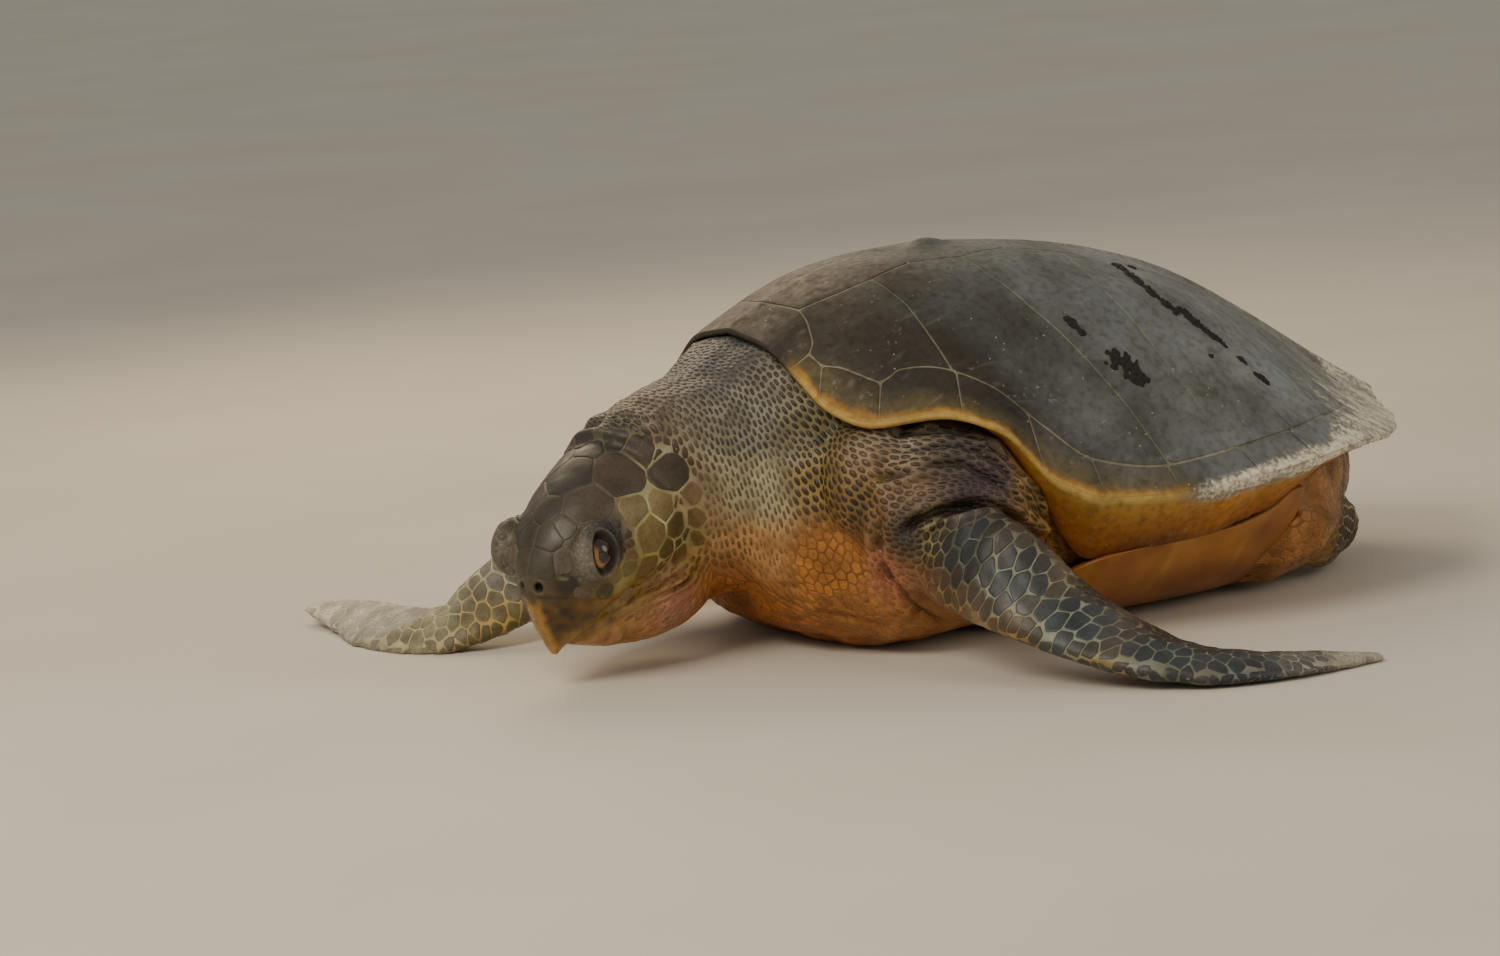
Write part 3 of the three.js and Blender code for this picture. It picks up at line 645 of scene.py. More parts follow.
def inset_line(p, gap):
    """The outline moved inwards by a gap."""
    along = unit(np.roll(p, -1, 0) - np.roll(p, 1, 0))
    area = np.sum(p[:, 0] * np.roll(p[:, 1], -1) - np.roll(p[:, 0], -1) * p[:, 1])
    inward = np.column_stack((-along[:, 1], along[:, 0])) * (1 if area > 0 else -1)
    gap = np.broadcast_to(np.asarray(gap, float), (len(p),))
    return p + inward * gap[:, None]


def drawn_in(edge, centre, gap):
    """The outline moved towards its middle by a gap."""
    inward = centre - edge
    return edge + inward * (gap / np.linalg.norm(inward, axis=1))[:, None]


def mirror(points):
    return [(-x, y) for x, y in points]


def plate_outlines():
    """Outline, as seen from above, of every plate of the shell, by name."""
    found = {}
    line = list(VERTEBRAL_LINE)
    front = [tuple(p) for p in plan_of(np.linspace(0.098, 0, 14), np.full(14, 1.0))]
    nuchal = list(NUCHAL_BACK) + front + mirror(front)[::-1] + mirror(NUCHAL_BACK)[::-1]
    nuchal.append((0, -283))
    found["nuchal"] = nuchal
    bow = 9.0
    ends = [-276] + list(VERTEBRAL_SEAMS_Y) + [306]
    for i in range(len(ends) - 1):
        y0, y1 = ends[i], ends[i + 1]
        right = line_between(line, y0, y1)
        first = [(0, y0 + (bow if i else -7))]
        last = [(0, y1 + (bow if i + 2 < len(ends) else 14))]
        found[f"vertebral_{i + 1}"] = right + last + mirror(right)[::-1] + first
    seams = [list(s) for s in COSTAL_SEAMS]
    for s in seams:
        q = q_of(s[-1])
        s[-1] = tuple(plan_of(q, station(INNER_RIM, "r", [q]))[0])
    start = list(NUCHAL_BACK) + list(FIRST_RIM_SEAM)
    costal = [start + rim_line(q_of(start[-1]) + 0.004, q_of(seams[0][-1]))
              + seams[0][::-1] + line_between(line, -276, -209)[::-1][1:-1]]
    for a, b in zip(seams[:-1], seams[1:]):
        inner = [p for p in line if a[0][1] < p[1] < b[0][1]]
        costal.append(a + rim_line(q_of(a[-1]), q_of(b[-1]))[1:-1] + b[::-1] + inner[::-1])
    last = seams[-1]
    tail = [p for p in line if p[1] > last[0][1]]
    costal.append(last + rim_line(q_of(last[-1]), 0.985)[1:] + tail[::-1])
    for i, outline in enumerate(costal):
        found[f"costal_{i + 1}_left"] = outline
        found[f"costal_{i + 1}_right"] = mirror(outline)
    for i, (q0, q1) in enumerate(zip(RIM_SEAMS_Q[:-1], RIM_SEAMS_Q[1:])):
        inner = rim_line(q0, q1, 12)
        if i == 0:
            inner = [(94, -296), (109, -293)]
        elif i == 1:
            inner = [(109, -293), (121, -283), (152, -262)]
        elif i == 2:
            inner = [(152, -262), (154, -252)] + rim_line(q_of((154, -252)) + 0.004, q1, 8)
        outer = [tuple(p) for p in plan_of(np.linspace(q1, q0, 26), np.full(26, 1.0))]
        found[f"rim_plate_{i + 1}_left"] = inner + outer
        found[f"rim_plate_{i + 1}_right"] = mirror(inner + outer)
    return found


PLATE_RISE = 0.32                   # of a plate's top above the base
UNDERSIDE = -1.2                    # of a plate's bottom, inside the base
PLATE_STEP = 3.6                    # between places round a plate's outline


def build_plates():
    """Every plate of the shell as one closed dished sheet over the base."""
    pieces = {kind: ([], [], [], []) for kind in ("vertebral", "costal", "rim_plate")}
    for index, (name, outline) in enumerate(plate_outlines().items()):
        kind = next((kind for kind in pieces if name.startswith(kind)), "vertebral")
        places, faces, colours, wears = pieces[kind]
        even = resample(outline, PLATE_STEP)
        at_edge = shell_place(even)[2] > 0.985
        gap = np.where(at_edge, RIM_GAP, SEAM_GAP / 2)
        edge = inset_line(even, gap)
        centre = edge.mean(0)
        n = len(edge)
        reach = np.linalg.norm(edge - centre, axis=1).mean()
        steps = max(5, int(reach / 4.2))
        shares = (np.arange(1, steps) / steps) ** 1.05
        # from the middle of the underside out, round the edge, and over the top
        deep = [(t, UNDERSIDE, 2.6) for t in shares[::-2]] + [(0.0, UNDERSIDE, 0)]
        deep += [(0.0, 0.1, 0), (0.0, 0.26, 0.9), (0.0, PLATE_RISE, 2.6)]
        deep += [(t, PLATE_RISE, 2.6) for t in shares]
        start = len(places)
        for t, rise, inward in deep:
            ring = drawn_in(edge, centre, inward) * (1 - t) + centre * t
            here, normal = shell_top(ring)
            lines = 0.10 * np.sin(2 * math.pi * (reach * (1 - t)) / 7.5 + index)
            wear = 0.20 * waves(here, 34, 11) + 0.09 * waves(here, 13, 12)
            lift = rise + (np.maximum(lines + wear, -0.2) if t > 0 and rise > 0 else 0)
            p = here + normal * np.asarray(lift)[..., None] * np.ones((n, 1))
            q, _, r = shell_place(ring)
            colour = shell_paint(q, np.minimum(r, 1), ring[:, 0], ring[:, 1])
            wears.extend(shell_wear(q, np.minimum(r, 1), ring[:, 0], ring[:, 1]))
            # a random tone for each plate, and painted shade darkening its outer few millimetres by the
            # seam
            shade = 0.96 + 0.08 * math.sin(index * 2.4) - 0.10 * math.exp(-(inward + t * reach) / 5)
            places.extend(p)
            colours.extend(colour * shade)
        here, normal = shell_top(centre[None])
        q, _, r = shell_place(centre[None])
        for rise in (PLATE_RISE, UNDERSIDE):
            places.append((here + normal * rise)[0])
            colours.extend(shell_paint(q, r, centre[:1], centre[1:2]))
            wears.extend(shell_wear(q, r, centre[:1], centre[1:2]))
        faces.extend(ring_faces(len(deep), n, start))
        a = start + (len(deep) - 1) * n
        for j in range(n):
            faces.append((a + j, a + (j + 1) % n, a + n))
            faces.append((start + (j + 1) % n, start + j, a + n + 1))
    made = []
    for kind, (places, faces, colours, wears) in pieces.items():
        piece = mesh_from(f"shell_{kind}s", world(places), faces)
        face_outwards(piece)
        paint(piece, "pigment_and_shade", np.array(colours))
        paint(piece, "wear", grey_of(wears))
        made.append(piece)
    return made


# ------------------------------------------------------------------ belly plate
BELLY = {
    "at": (-226, -200, -165, -128, -98, -40, 20, 70, 105, 128, 142, 175, 215, 240),
    "half": (48, 92, 150, 212, 240, 247, 248, 243, 232, 214, 120, 95, 66, 26),
    "edge": (9, 12, 24, 56, 71, 76, 78, 87, 99, 96, 40, 20, 12, 9),
}
BELLY_SPAN, BELLY_STEPS = 110, 61   # steps from front to back, and across


def belly_seam(x, y):
    """How near a place on the belly is to a seam between its plates, 0 to 1."""
    across = np.array((-182, -120, -42, 40, 118, 186))
    bent = y - 10 * np.cos(x / 40)
    near_across = np.abs(bent[:, None] - across).min(1)
    near_middle = np.abs(x - 2.5 * np.sin(y / 30))
    bridge = np.abs(np.abs(x) - station(BELLY, "half", y) * 0.72)
    middle = np.where(np.abs(y) < 130, bridge, 99)
    return smooth_step(3.2, 0.8, np.minimum(np.minimum(near_across, near_middle), middle))


def build_belly():
    """The plastron and its bridges: a shallow dish with grooved seams."""
    y0, y1 = BELLY["at"][0], BELLY["at"][-1]
    share = 0.5 - 0.5 * np.cos(math.pi * np.arange(BELLY_SPAN + 1) / BELLY_SPAN)
    s = np.sin(math.pi * (np.arange(BELLY_STEPS) / (BELLY_STEPS - 1) - 0.5))
    rings, colours = [], []
    for y in y0 + (y1 - y0) * share:
        half = float(station(BELLY, "half", y))
        edge = float(station(BELLY, "edge", y))
        steep = 3 + 1.6 * np.clip((half - 90) / 140, 0, 1)
        z = np.maximum(0, (edge + 3) * np.abs(s) ** steep - 1.5)
        low_x = half * s
        seam = belly_seam(low_x, np.full_like(s, y))
        low_z = z + 0.9 * seam * (z > 0.01)
        lift = 8 + (2 - 8) * np.abs(s) ** 6
        p = np.column_stack((low_x, np.full_like(s, y), low_z))
        top = np.column_stack(((half - 7) * s, np.full_like(s, y), z + lift))
        rings.append(np.vstack((p, top[::-1])))
        wander = waves(p, 70, 21)
        colour = mixed(srgb("#a9690f"), srgb("#86510d"), 0.5 + 0.5 * wander)
        colour = mixed(colour, srgb("#b27c2a"), smooth_step(0.75, 1.0, np.abs(s)) * 0.6)
        colour = mixed(colour, srgb("#c0954a"), seam * 0.4)
        colours.append(np.vstack((colour, colour[::-1])))
    n = BELLY_STEPS * 2
    faces = ring_faces(len(rings), n)
    base = (len(rings) - 1) * n
    for j in range(BELLY_STEPS - 1):
        a = n - 1 - j
        faces.append((j, a, a - 1, j + 1))
        faces.append((base + j, base + j + 1, base + a - 1, base + a))
    piece = mesh_from("belly_plate", world(np.concatenate(rings)), faces)
    face_outwards(piece)
    paint(piece, "pigment_and_shade", np.concatenate(colours))
    return piece


# ------------------------------------------------------------------ finishes
def shell_keratin():
    """Weathered keratin plate: satin, mottled, dusty in its pores, finely scratched."""
    made, tree, shader = material("weathered_shell_keratin")
    places = object_places(tree)
    broad = noise(tree, 60, 5).outputs[0]
    grain = noise(tree, 7, 6).outputs[0]
    stretched = add(tree, "ShaderNodeMapping", {
        "Vector": places, "Rotation": (0.0, 0.0, 0.35), "Scale": (1.0, 0.16, 0.5)})
    streak = noise(tree, 6, 4, stretched.outputs[0]).outputs[0]
    colour = tint(tree, "MULTIPLY", ramp(tree, broad, 0.38, 0.72), pigment_and_shade(tree), rgba("#b4b2a8"))
    colour = tint(tree, "MULTIPLY", ramp(tree, grain, 0.45, 0.75), colour, rgba("#c9c6ba"))
    pale = maths(tree, "MULTIPLY", ramp(tree, streak, 0.6, 0.78), 0.20)
    colour = tint(tree, "MIX", pale, colour, rgba("#8f8f88"))
    specks = add(tree, "ShaderNodeTexVoronoi", {"Vector": places, "Scale": per_metre(9)})
    dust = ramp(tree, specks.outputs["Distance"], 0.11, 0.05)
    dust = maths(tree, "MULTIPLY", dust, ramp(tree, broad, 0.45, 0.6))
    colour = tint(tree, "MIX", dust, colour, rgba("#a39c86"))
    worn = add(tree, "ShaderNodeVertexColor", layer_name="wear").outputs["Color"]
    flakes = noise(tree, 9, 5, stretched.outputs[0]).outputs[0]
    pits = noise(tree, 4, 4).outputs[0]
    crumbs = maths(tree, "ADD", flakes, pits)
    worn = maths(tree, "ADD", worn, crumbs)
    bleached = tint(tree, "MIX", ramp(tree, pits, 0.38, 0.6), rgba("#6f6c61"), rgba("#99958a"))
    bare = tint(tree, "MIX", ramp(tree, crumbs, 0.86, 1.12), rgba("#9b9585"), rgba("#ddd5bf"))
    colour = tint(tree, "MIX", ramp(tree, worn, 1.20, 1.68), colour, bleached)
    colour = tint(tree, "MIX", ramp(tree, worn, 1.46, 1.92), colour, bare)
    rough = ramp(tree, grain, 0.3, 0.7, 0.5, 0.68)
    height = maths(tree, "ADD", grain, streak)
    wire(tree, shader, Base_Color=colour, Roughness=rough, IOR=1.54,
         Specular_IOR_Level=0.36, Normal=bump(tree, height, 0.35, 0.0006))
    return made


def belly_keratin():
    """Plastron keratin: warm, smooth and a little waxy."""
    made, tree, shader = material("smooth_belly_keratin")
    broad = noise(tree, 45, 4).outputs[0]
    grain = noise(tree, 5, 5).outputs[0]
    colour = tint(tree, "MULTIPLY", ramp(tree, broad, 0.35, 0.7), pigment_and_shade(tree), rgba("#cdb08a"))
    wire(tree, shader, Base_Color=colour, Roughness=0.42, IOR=1.54,
         Normal=bump(tree, grain, 0.25, 0.0005),
         Subsurface_Weight=0.08, Subsurface_Radius=(0.004, 0.002, 0.001))
    return made


# ------------------------------------------------------------------ camera, light, floor
CAMERA = {"azimuth": 59.83, "elevation": 8.952, "roll": -4.163, "distance": 4629.5,
          "right": -274.25, "up": 101.05, "lens_mm": 123.08}


def build_camera():
    azimuth, elevation, roll = (math.radians(CAMERA[k]) for k in ("azimuth", "elevation", "roll"))
    back = np.array((math.sin(azimuth) * math.cos(elevation),
                     -math.cos(azimuth) * math.cos(elevation), math.sin(elevation)))
    level = np.array((math.cos(azimuth), math.sin(azimuth), 0.0))
    rise = np.cross(back, level)
    right = math.cos(roll) * level + math.sin(roll) * rise
    up = -math.sin(roll) * level + math.cos(roll) * rise
    place = back * CAMERA["distance"] + right * CAMERA["right"] + up * CAMERA["up"]
    camera = bpy.data.cameras.new("camera")
    camera.lens = CAMERA["lens_mm"]
    camera.sensor_width = 36.0
    camera.clip_start = 0.1
    camera.clip_end = 50.0
    holder = bpy.data.objects.new("camera", camera)
    turned = Matrix((right, up, back)).transposed().to_4x4()
    turned.translation = Vector(world(place))
    holder.matrix_world = turned
    bpy.context.scene.collection.objects.link(holder)
    bpy.context.scene.camera = holder


def area_light(name, place, target, size, power, colour):
    light = bpy.data.lights.new(name, "AREA")
    light.shape = "DISK"
    light.size = size
    light.energy = power
    light.color = srgb(colour)
    holder = bpy.data.objects.new(name, light)
    aim = Vector(target) - Vector(place)
    holder.matrix_world = aim.to_track_quat("-Z", "Y").to_matrix().to_4x4()
    holder.matrix_world.translation = Vector(place)
    bpy.context.scene.collection.objects.link(holder)


def build_studio():
    middle = (0.0, 0.0, 0.12)
    area_light("key_softbox", (0.6, -1.9, 1.9), middle, 1.4, 36, "#fff1dc")
    area_light("back_softbox", (-1.9, 0.3, 1.5), middle, 1.3, 21, "#ffe2b8")
    area_light("side_fill", (2.2, 0.9, 1.1), middle, 1.6, 13, "#fff0dd")
    bm = bmesh.new()
    bmesh.ops.create_grid(bm, x_segments=2, y_segments=2, size=14.0)
    mesh = bpy.data.meshes.new("floor")
    bm.to_mesh(mesh)
    bm.free()
    floor = new_object("floor", mesh)
    made, tree, shader = material("matte_floor_paint")
    grain = noise(tree, 400, 2).outputs[0]
    colour = tint(tree, "MIX", ramp(tree, grain, 0.3, 0.7), rgba("#d9d4c8"), rgba("#d2ccbf"))
    wire(tree, shader, Base_Color=colour, Roughness=0.8)
    floor.data.materials.append(made)
    sky = bpy.data.worlds.new("studio")
    sky.use_nodes = True
    sky.node_tree.nodes["Background"].inputs["Color"].default_value = rgba("#f4efe6")
    sky.node_tree.nodes["Background"].inputs["Strength"].default_value = 0.42
    bpy.context.scene.world = sky


# ------------------------------------------------------------------ coat table
# One row for each named place of the hide: where it is, how far it reaches, its
# scales' width, their length over their width, the way they lie, the bare gap
# round each, how high they stand, and the colours of scale, scale edge and skin.
def both(row):
    """A row of the left side, and the same row for the right side."""
    name, place, *rest = row
    return [row, (name + "_right", np.array(place) * (-1, 1, 1), *rest)]


def head_both(name, left, ahead, up, *rest):
    """A row of the head on its left side, and the same row for its right side."""
    return [(name, in_head(left, ahead, up), *rest), (name + "_right", in_head(-left, ahead, up), *rest)]


def build_coat_table():
    rows = []

    def add_row(*row):
        rows.append(row)

    # head and jaw
    add_row("snout", in_head(0, 38, 8), 20, 8, 1.0, AHEAD, 0.5, 0.4, "#4b4638", "#524e40", "#58523e")
    add_row("crown", in_head(0, 0, 34), 34, 14, 1.0, AHEAD, 0.5, 0.7, "#443f36", "#4a453a", "#575341")
    add_row("crown_rear", in_head(0, -60, 42), 36, 16, 1.0, AHEAD, 0.6, 0.7,
            "#312e2a", "#3a3731", "#4d4a3c")
    rows.extend(head_both("temple", 58, -86, 14, 22, 12, 1.0, AHEAD, 1.7, 0.7,
                          "#423d36", "#5c5642", "#aaa87e"))
    rows.extend(head_both("cheek", 60, -64, -14, 20, 11, 1.0, AHEAD, 1.8, 0.6,
                          "#948658", "#aba66e", "#d0d0a0"))
    rows.extend(head_both("lower_cheek", 56, -52, -38, 18, 9, 1.1, AHEAD, 1.8, 0.5,
                          "#6f6432", "#8e8445", "#a39b5a"))
    rows.extend(head_both("jaw_corner", 62, -86, -50, 20, 8, 1.1, AHEAD, 1.8, 0.5,
                          "#685d36", "#958c54", "#b1a976"))
    rows.extend(head_both("under_eye", 47, -12, -42, 15, 9, 1.1, AHEAD, 1.0, 0.3,
                          "#7c7140", "#8d8248", "#988c4e"))
    rows.extend(head_both("beside_beak", 40, 12, -36, 14, 9, 1.1, AHEAD, 1.0, 0.3,
                          "#5a5030", "#6c6038", "#6c5f34"))
    rows.extend(head_both("behind_nostril", 27, 30, -14, 11, 7, 1.0, AHEAD, 0.5, 0.3,
                          "#38322a", "#443c30", "#3a332a"))
    rows.extend(head_both("lid_front", 50, 17, 2, 17, 3.0, 1.3, OVER, 0.5, 0.2,
                          "#787166", "#847c71", "#757066"))
    rows.extend(head_both("lid_rear", 56, -10, 6, 20, 2.8, 1.3, OVER, 0.5, 0.25,
                          "#373c43", "#474d54", "#2f3338"))
    rows.extend(head_both("lip", 44, -32, -64, 13, 4.5, 2.4, AHEAD, 0.9, 0.25,
                          "#8e7036", "#9c7f44", "#a07c3c"))
    rows.extend(head_both("rictus", 58, -84, -78, 14, 4.5, 2.4, AHEAD, 1.0, 0.25,
                          "#80652f", "#957a40", "#a5843f"))
    rows.extend(head_both("throat_side", 46, -50, -100, 20, 4.6, 2.4, AHEAD, 1.6, 0.25,
                          "#ae7d64", "#b98870", "#b9846b"))
    add_row("throat", in_head(0, -50, -125), 40, 5.0, 2.2, AHEAD, 1.5, 0.25,
            "#bc8858", "#c29166", "#c08c5e")
    # neck, shoulders and chest
    add_row("nape", in_head(0, -112, 40), 32, 3.8, 1.9, (1, 0, 0), 1.2, 0.3,
            "#38362f", "#46433b", "#64604f")
    add_row("neck_top", (0, -325, 250), 64, 4.2, 1.9, (1, 0.1, 0), 1.3, 0.3,
            "#32343a", "#3f4145", "#5b5c5a")
    for row in (("neck_upper_side", (72, -345, 205), 46, 4.3, 2.0, (0.5, 0.1, -0.8), 1.8, 0.3,
                 "#3a3932", "#4c4a41", "#7f7c6a"),
                ("neck_side", (84, -350, 150), 44, 4.2, 2.5, (0.1, 0.2, -1), 2.5, 0.25,
                 "#716850", "#847b60", "#aea588"),
                ("neck_low_side", (78, -352, 95), 40, 5.0, 2.1, (-0.3, 0.2, -1), 2.9, 0.2,
                 "#a37c4c", "#b28a58", "#c2935c"),
                ("neck_root", (112, -312, 205), 36, 5.0, 1.9, (0.6, 0.4, -0.7), 1.9, 0.4,
                 "#34302a", "#49432f", "#7f7650"),
                ("neck_root_side", (122, -312, 150), 34, 6.4, 1.5, (0.3, 0.5, -0.8), 2.0, 0.5,
                 "#362b17", "#554524", "#937c42"),
                ("chest_side", (120, -312, 90), 38, 8.0, 1.15, (0.2, 0.4, -1), 1.2, 0.5,
                 "#bd7c30", "#b0702a", "#8f5c20"),
                ("shoulder_front", (160, -292, 140), 26, 6.2, 1.5, (0.5, 0.5, -0.6), 1.9, 0.5,
                 "#2c2116", "#43341c", "#7a6134"),
                ("shoulder_top", (175, -250, 205), 34, 4.8, 2.3, (0.8, 0.6, 0), 1.4, 0.4,
                 "#4b463e", "#5d574c", "#978c78"),
                ("shoulder_crest", (212, -220, 185), 34, 5.2, 2.3, (0.45, 0.85, -0.3), 1.6, 0.4,
                 "#282423", "#38322e", "#5a5145"),
                ("shoulder_side", (230, -212, 158), 24, 4.2, 2.0, (0.3, 0.9, -0.4), 1.0, 0.3,
                 "#372c2f", "#493b3f", "#57474b"),
                ("shoulder_fold", (218, -282, 116), 19, 3.4, 1.5, (0.5, 0.5, -0.3), 0.8, 0.25,
                 "#2f2826", "#3f3533", "#453a38"),
                ("arm_brow", (238, -236, 144), 20, 3.6, 1.7, (0.3, 0.9, -0.2), 0.9, 0.3,
                 "#352b2c", "#463a3c", "#4f4144"),
                ("shoulder_rear", (228, -160, 140), 34, 5.0, 2.4, (0.2, 0.8, -0.7), 1.5, 0.4,
                 "#513f24", "#6e5730", "#a5884c"),
                ("flank", (205, -120, 100), 30, 6.0, 2.0, (0.2, 1, -0.5), 1.2, 0.35,
                 "#b4813c", "#c09052", "#c99a54"),
                ("armpit_front", (180, -294, 72), 20, 4.6, 1.5, (0.3, 0.3, -1), 1.2, 0.25,
                 "#b4714c", "#c08360", "#c58268")):
        rows.extend(both(row))
    add_row("chest_front", (0, -322, 50), 60, 8.5, 1.1, (0, 0.5, -1), 1.2, 0.5,
            "#c07a2a", "#b26e26", "#945c1e")
    add_row("chest_low", (0, -285, 10), 90, 7.0, 2.4, (1, 0, 0), 0.9, 0.3,
            "#a3601e", "#ac6a28", "#a8641e")
    add_row("belly_skin", (0, -60, 20), 160, 9.0, 1.5, (0, 1, 0), 0.8, 0.3,
            "#b07a38", "#b98644", "#a8702f")
    # left arm, from the shoulder to the tip
    add_row("arm_root", (228, -276, 112), 18, 7.5, 1.4, (0.2, 0, 0.9), 1.3, 0.5,
            "#33301f", "#4a452c", "#8c8048")
    add_row("arm_top", (264, -250, 104), 32, 14, 1.7, (0.1, 0.3, 0.9), 0.9, 0.6,
            "#20272b", "#303838", "#5e6655")
    add_row("arm_mid", (312, -245, 80), 34, 15, 1.8, (0.1, 0.4, 0.8), 0.9, 0.6,
            "#353f46", "#485252", "#879080")
    add_row("forearm", (360, -228, 52), 34, 14, 1.8, (0.1, 0.6, 0.7), 0.85, 0.6,
            "#39444b", "#4c5656", "#879080")
    add_row("arm_lead", (262, -280, 46), 15, 10, 1.4, (0.2, 0, 0.9), 1.1, 0.7,
            "#4d4526", "#75642f", "#b98a3c")
    add_row("forearm_lead", (342, -262, 28), 16, 10, 1.4, (0.1, 0.5, 0.7), 1.1, 0.7,
            "#484429", "#7a6832", "#bb8d3c")
    add_row("wrist_lead", (402, -230, 10), 16, 9.5, 1.5, (-0.1, 0.8, 0.3), 1.0, 0.6,
            "#494a38", "#6d6748", "#a08a50")
    add_row("hand_root", (430, -180, 24), 26, 13, 1.7, (-0.5, 0.7, 0.1), 0.9, 0.55,
            "#323c42", "#454e4e", "#7a8074")
    add_row("hand", (470, -130, 16), 28, 12, 1.7, (-0.9, 0.3, 0), 0.85, 0.55,
            "#2f393f", "#434b4c", "#767b72")
    add_row("hand_far", (482, -80, 10), 24, 10, 1.7, (-1, 0.2, 0), 0.8, 0.5,
            "#6a6b66", "#85847a", "#a19e90")
    add_row("tip", (489, -25, 6), 26, 9, 1.4, (-1, 0, 0), 0.7, 0.4, "#a9a796", "#b8b4a4", "#bfbba9")
    add_row("arm_trail", (290, -202, 112), 18, 5.0, 1.5, (1, 0.2, -0.4), 0.8, 0.6,
            "#2c2116", "#3f3020", "#5f4a2c")
    add_row("forearm_trail", (345, -185, 72), 22, 5.0, 1.5, (1, 0.5, -0.4), 0.8, 0.6,
            "#2d2217", "#413221", "#5f4b2d")
    add_row("wrist_trail", (400, -152, 34), 20, 5.0, 1.5, (1, 0.8, -0.3), 0.8, 0.5,
            "#34291c", "#4b3c28", "#665338")
    add_row("hand_trail", (446, -90, 12), 16, 5.0, 1.5, (0.3, 1, 0), 0.8, 0.5,
            "#4a3e30", "#5f523e", "#746650")
    add_row("arm_under", (300, -225, 40), 36, 8.0, 1.3, (1, 0.3, -0.2), 1.0, 0.5,
            "#b48d4e", "#c09a5c", "#b3863f")
    # right arm
    add_row("right_root", (-212, -285, 120), 30, 7.0, 1.3, (0, -1, -0.4), 1.2, 0.5,
            "#4a463a", "#6c664a", "#948a5e")
    add_row("right_elbow", (-215, -345, 100), 36, 14, 1.4, (-0.3, 0, 0.9), 1.3, 0.8,
            "#4d4e49", "#6e7060", "#9c9b80")
    add_row("right_forearm", (-205, -430, 60), 40, 13, 1.7, (-0.7, 0.2, 0.6), 1.0, 0.6,
            "#757569", "#9a987d", "#c6c09c")
    add_row("right_lead", (-175, -470, 18), 26, 12, 1.5, (-0.6, 0.2, 0.6), 1.0, 0.6,
            "#756c46", "#a0935c", "#c0a25c")
    add_row("right_wrist", (-230, -515, 24), 30, 12, 1.7, (-0.8, 0.5, 0.2), 0.9, 0.5,
            "#8f8c6e", "#aaa582", "#c4bb95")
    add_row("right_hand", (-295, -524, 20), 34, 12, 1.9, (-0.5, 0.9, 0.1), 0.7, 0.35,
            "#9a998a", "#b5b19d", "#cbc5ae")
    add_row("right_hand_far", (-355, -524, 18), 34, 11, 1.9, (-0.5, 0.9, 0.1), 0.6, 0.3,
            "#b0ad9c", "#c4c0ac", "#d0cbb6")
    add_row("right_tip", (-430, -528, 16), 34, 9.5, 1.5, (-0.5, 0.9, 0), 0.6, 0.25,
            "#d8d3bf", "#e0dbc8", "#e6e1ce")
    add_row("right_trail", (-262, -420, 62), 26, 5.5, 1.4, (0, -1, -0.3), 0.9, 0.5,
            "#4a4132", "#6b5f44", "#8a7c58")
    # hind limbs and tail
    for row in (("thigh", (150, 130, 70), 50, 8.0, 1.5, (0.3, 1, -0.2), 0.8, 0.35,
                 "#a9743a", "#b07e42", "#a06a30"),
                ("thigh_rear", (150, 180, 60), 30, 8.0, 1.3, (0, 1, -0.3), 1.0, 0.5,
                 "#8a6836", "#a07c44", "#9a713a"),
                ("hind_paddle", (140, 218, 44), 30, 9.0, 1.2, (0, 1, -0.4), 1.5, 0.7,
                 "#3c3826", "#67603c", "#a5966a"),
                ("hind_end", (105, 250, 22), 30, 8.0, 1.2, (-0.5, 1, -0.4), 1.4, 0.6,
                 "#3f3b2a", "#6a6442", "#a89a70")):
        rows.extend(both(row))
    add_row("tail", (0, 290, 60), 40, 6.5, 1.3, (0, 1, -0.5), 0.9, 0.5, "#5b4a2c", "#7a6640", "#94794a")
    add_row("rump", (0, 215, 90), 70, 7.0, 1.5, (0, 1, -0.4), 0.9, 0.4, "#8f6c38", "#9d7a44", "#a07a42")
    return rows


COAT = build_coat_table()
COAT_PLACE = np.array([row[1] for row in COAT], float)
COAT_REACH = np.array([row[2] for row in COAT], float)
COAT_NUMBERS = np.array([(row[3], row[4], *unit(np.array(row[5], float)), row[6], row[7],
                          *srgb(row[8]), *srgb(row[9]), *srgb(row[10])) for row in COAT])


def coat_at(p):
    """The table's numbers blended at each place: a soft vote of the rows nearby."""
    out = np.empty((len(p), COAT_NUMBERS.shape[1]))
    for start in range(0, len(p), 20000):
        part = p[start:start + 20000]
        away = np.linalg.norm(part[:, None, :] - COAT_PLACE[None], axis=2) / COAT_REACH
        vote = 1 / (away ** 4 + 0.02)
        vote /= vote.sum(1, keepdims=True)
        out[start:start + 20000] = vote @ COAT_NUMBERS
    return {"width": out[:, 0], "stretch": out[:, 1], "lie": out[:, 2:5], "gap": out[:, 5],
            "rise": out[:, 6], "scale": out[:, 7:10], "edge": out[:, 10:13], "skin": out[:, 13:16]}


# ------------------------------------------------------------------ skin
FLESH = ("trunk", "neck", "head", "jaw", "front_flipper_left_arm", "front_flipper_left_blade",
         "front_flipper_right_arm", "front_flipper_right_blade", "hind_flipper_left",
         "hind_flipper_right", "tail")
SKIN_VOXEL = 0.0031                 # metres
SKIN_TRIANGLES = 192000
JOIN_GROW = 0.00035                 # closes the thin cuts between the nodes of flesh
COAT_DEPTH = 0.7                    # how far the skin lies inside the solids

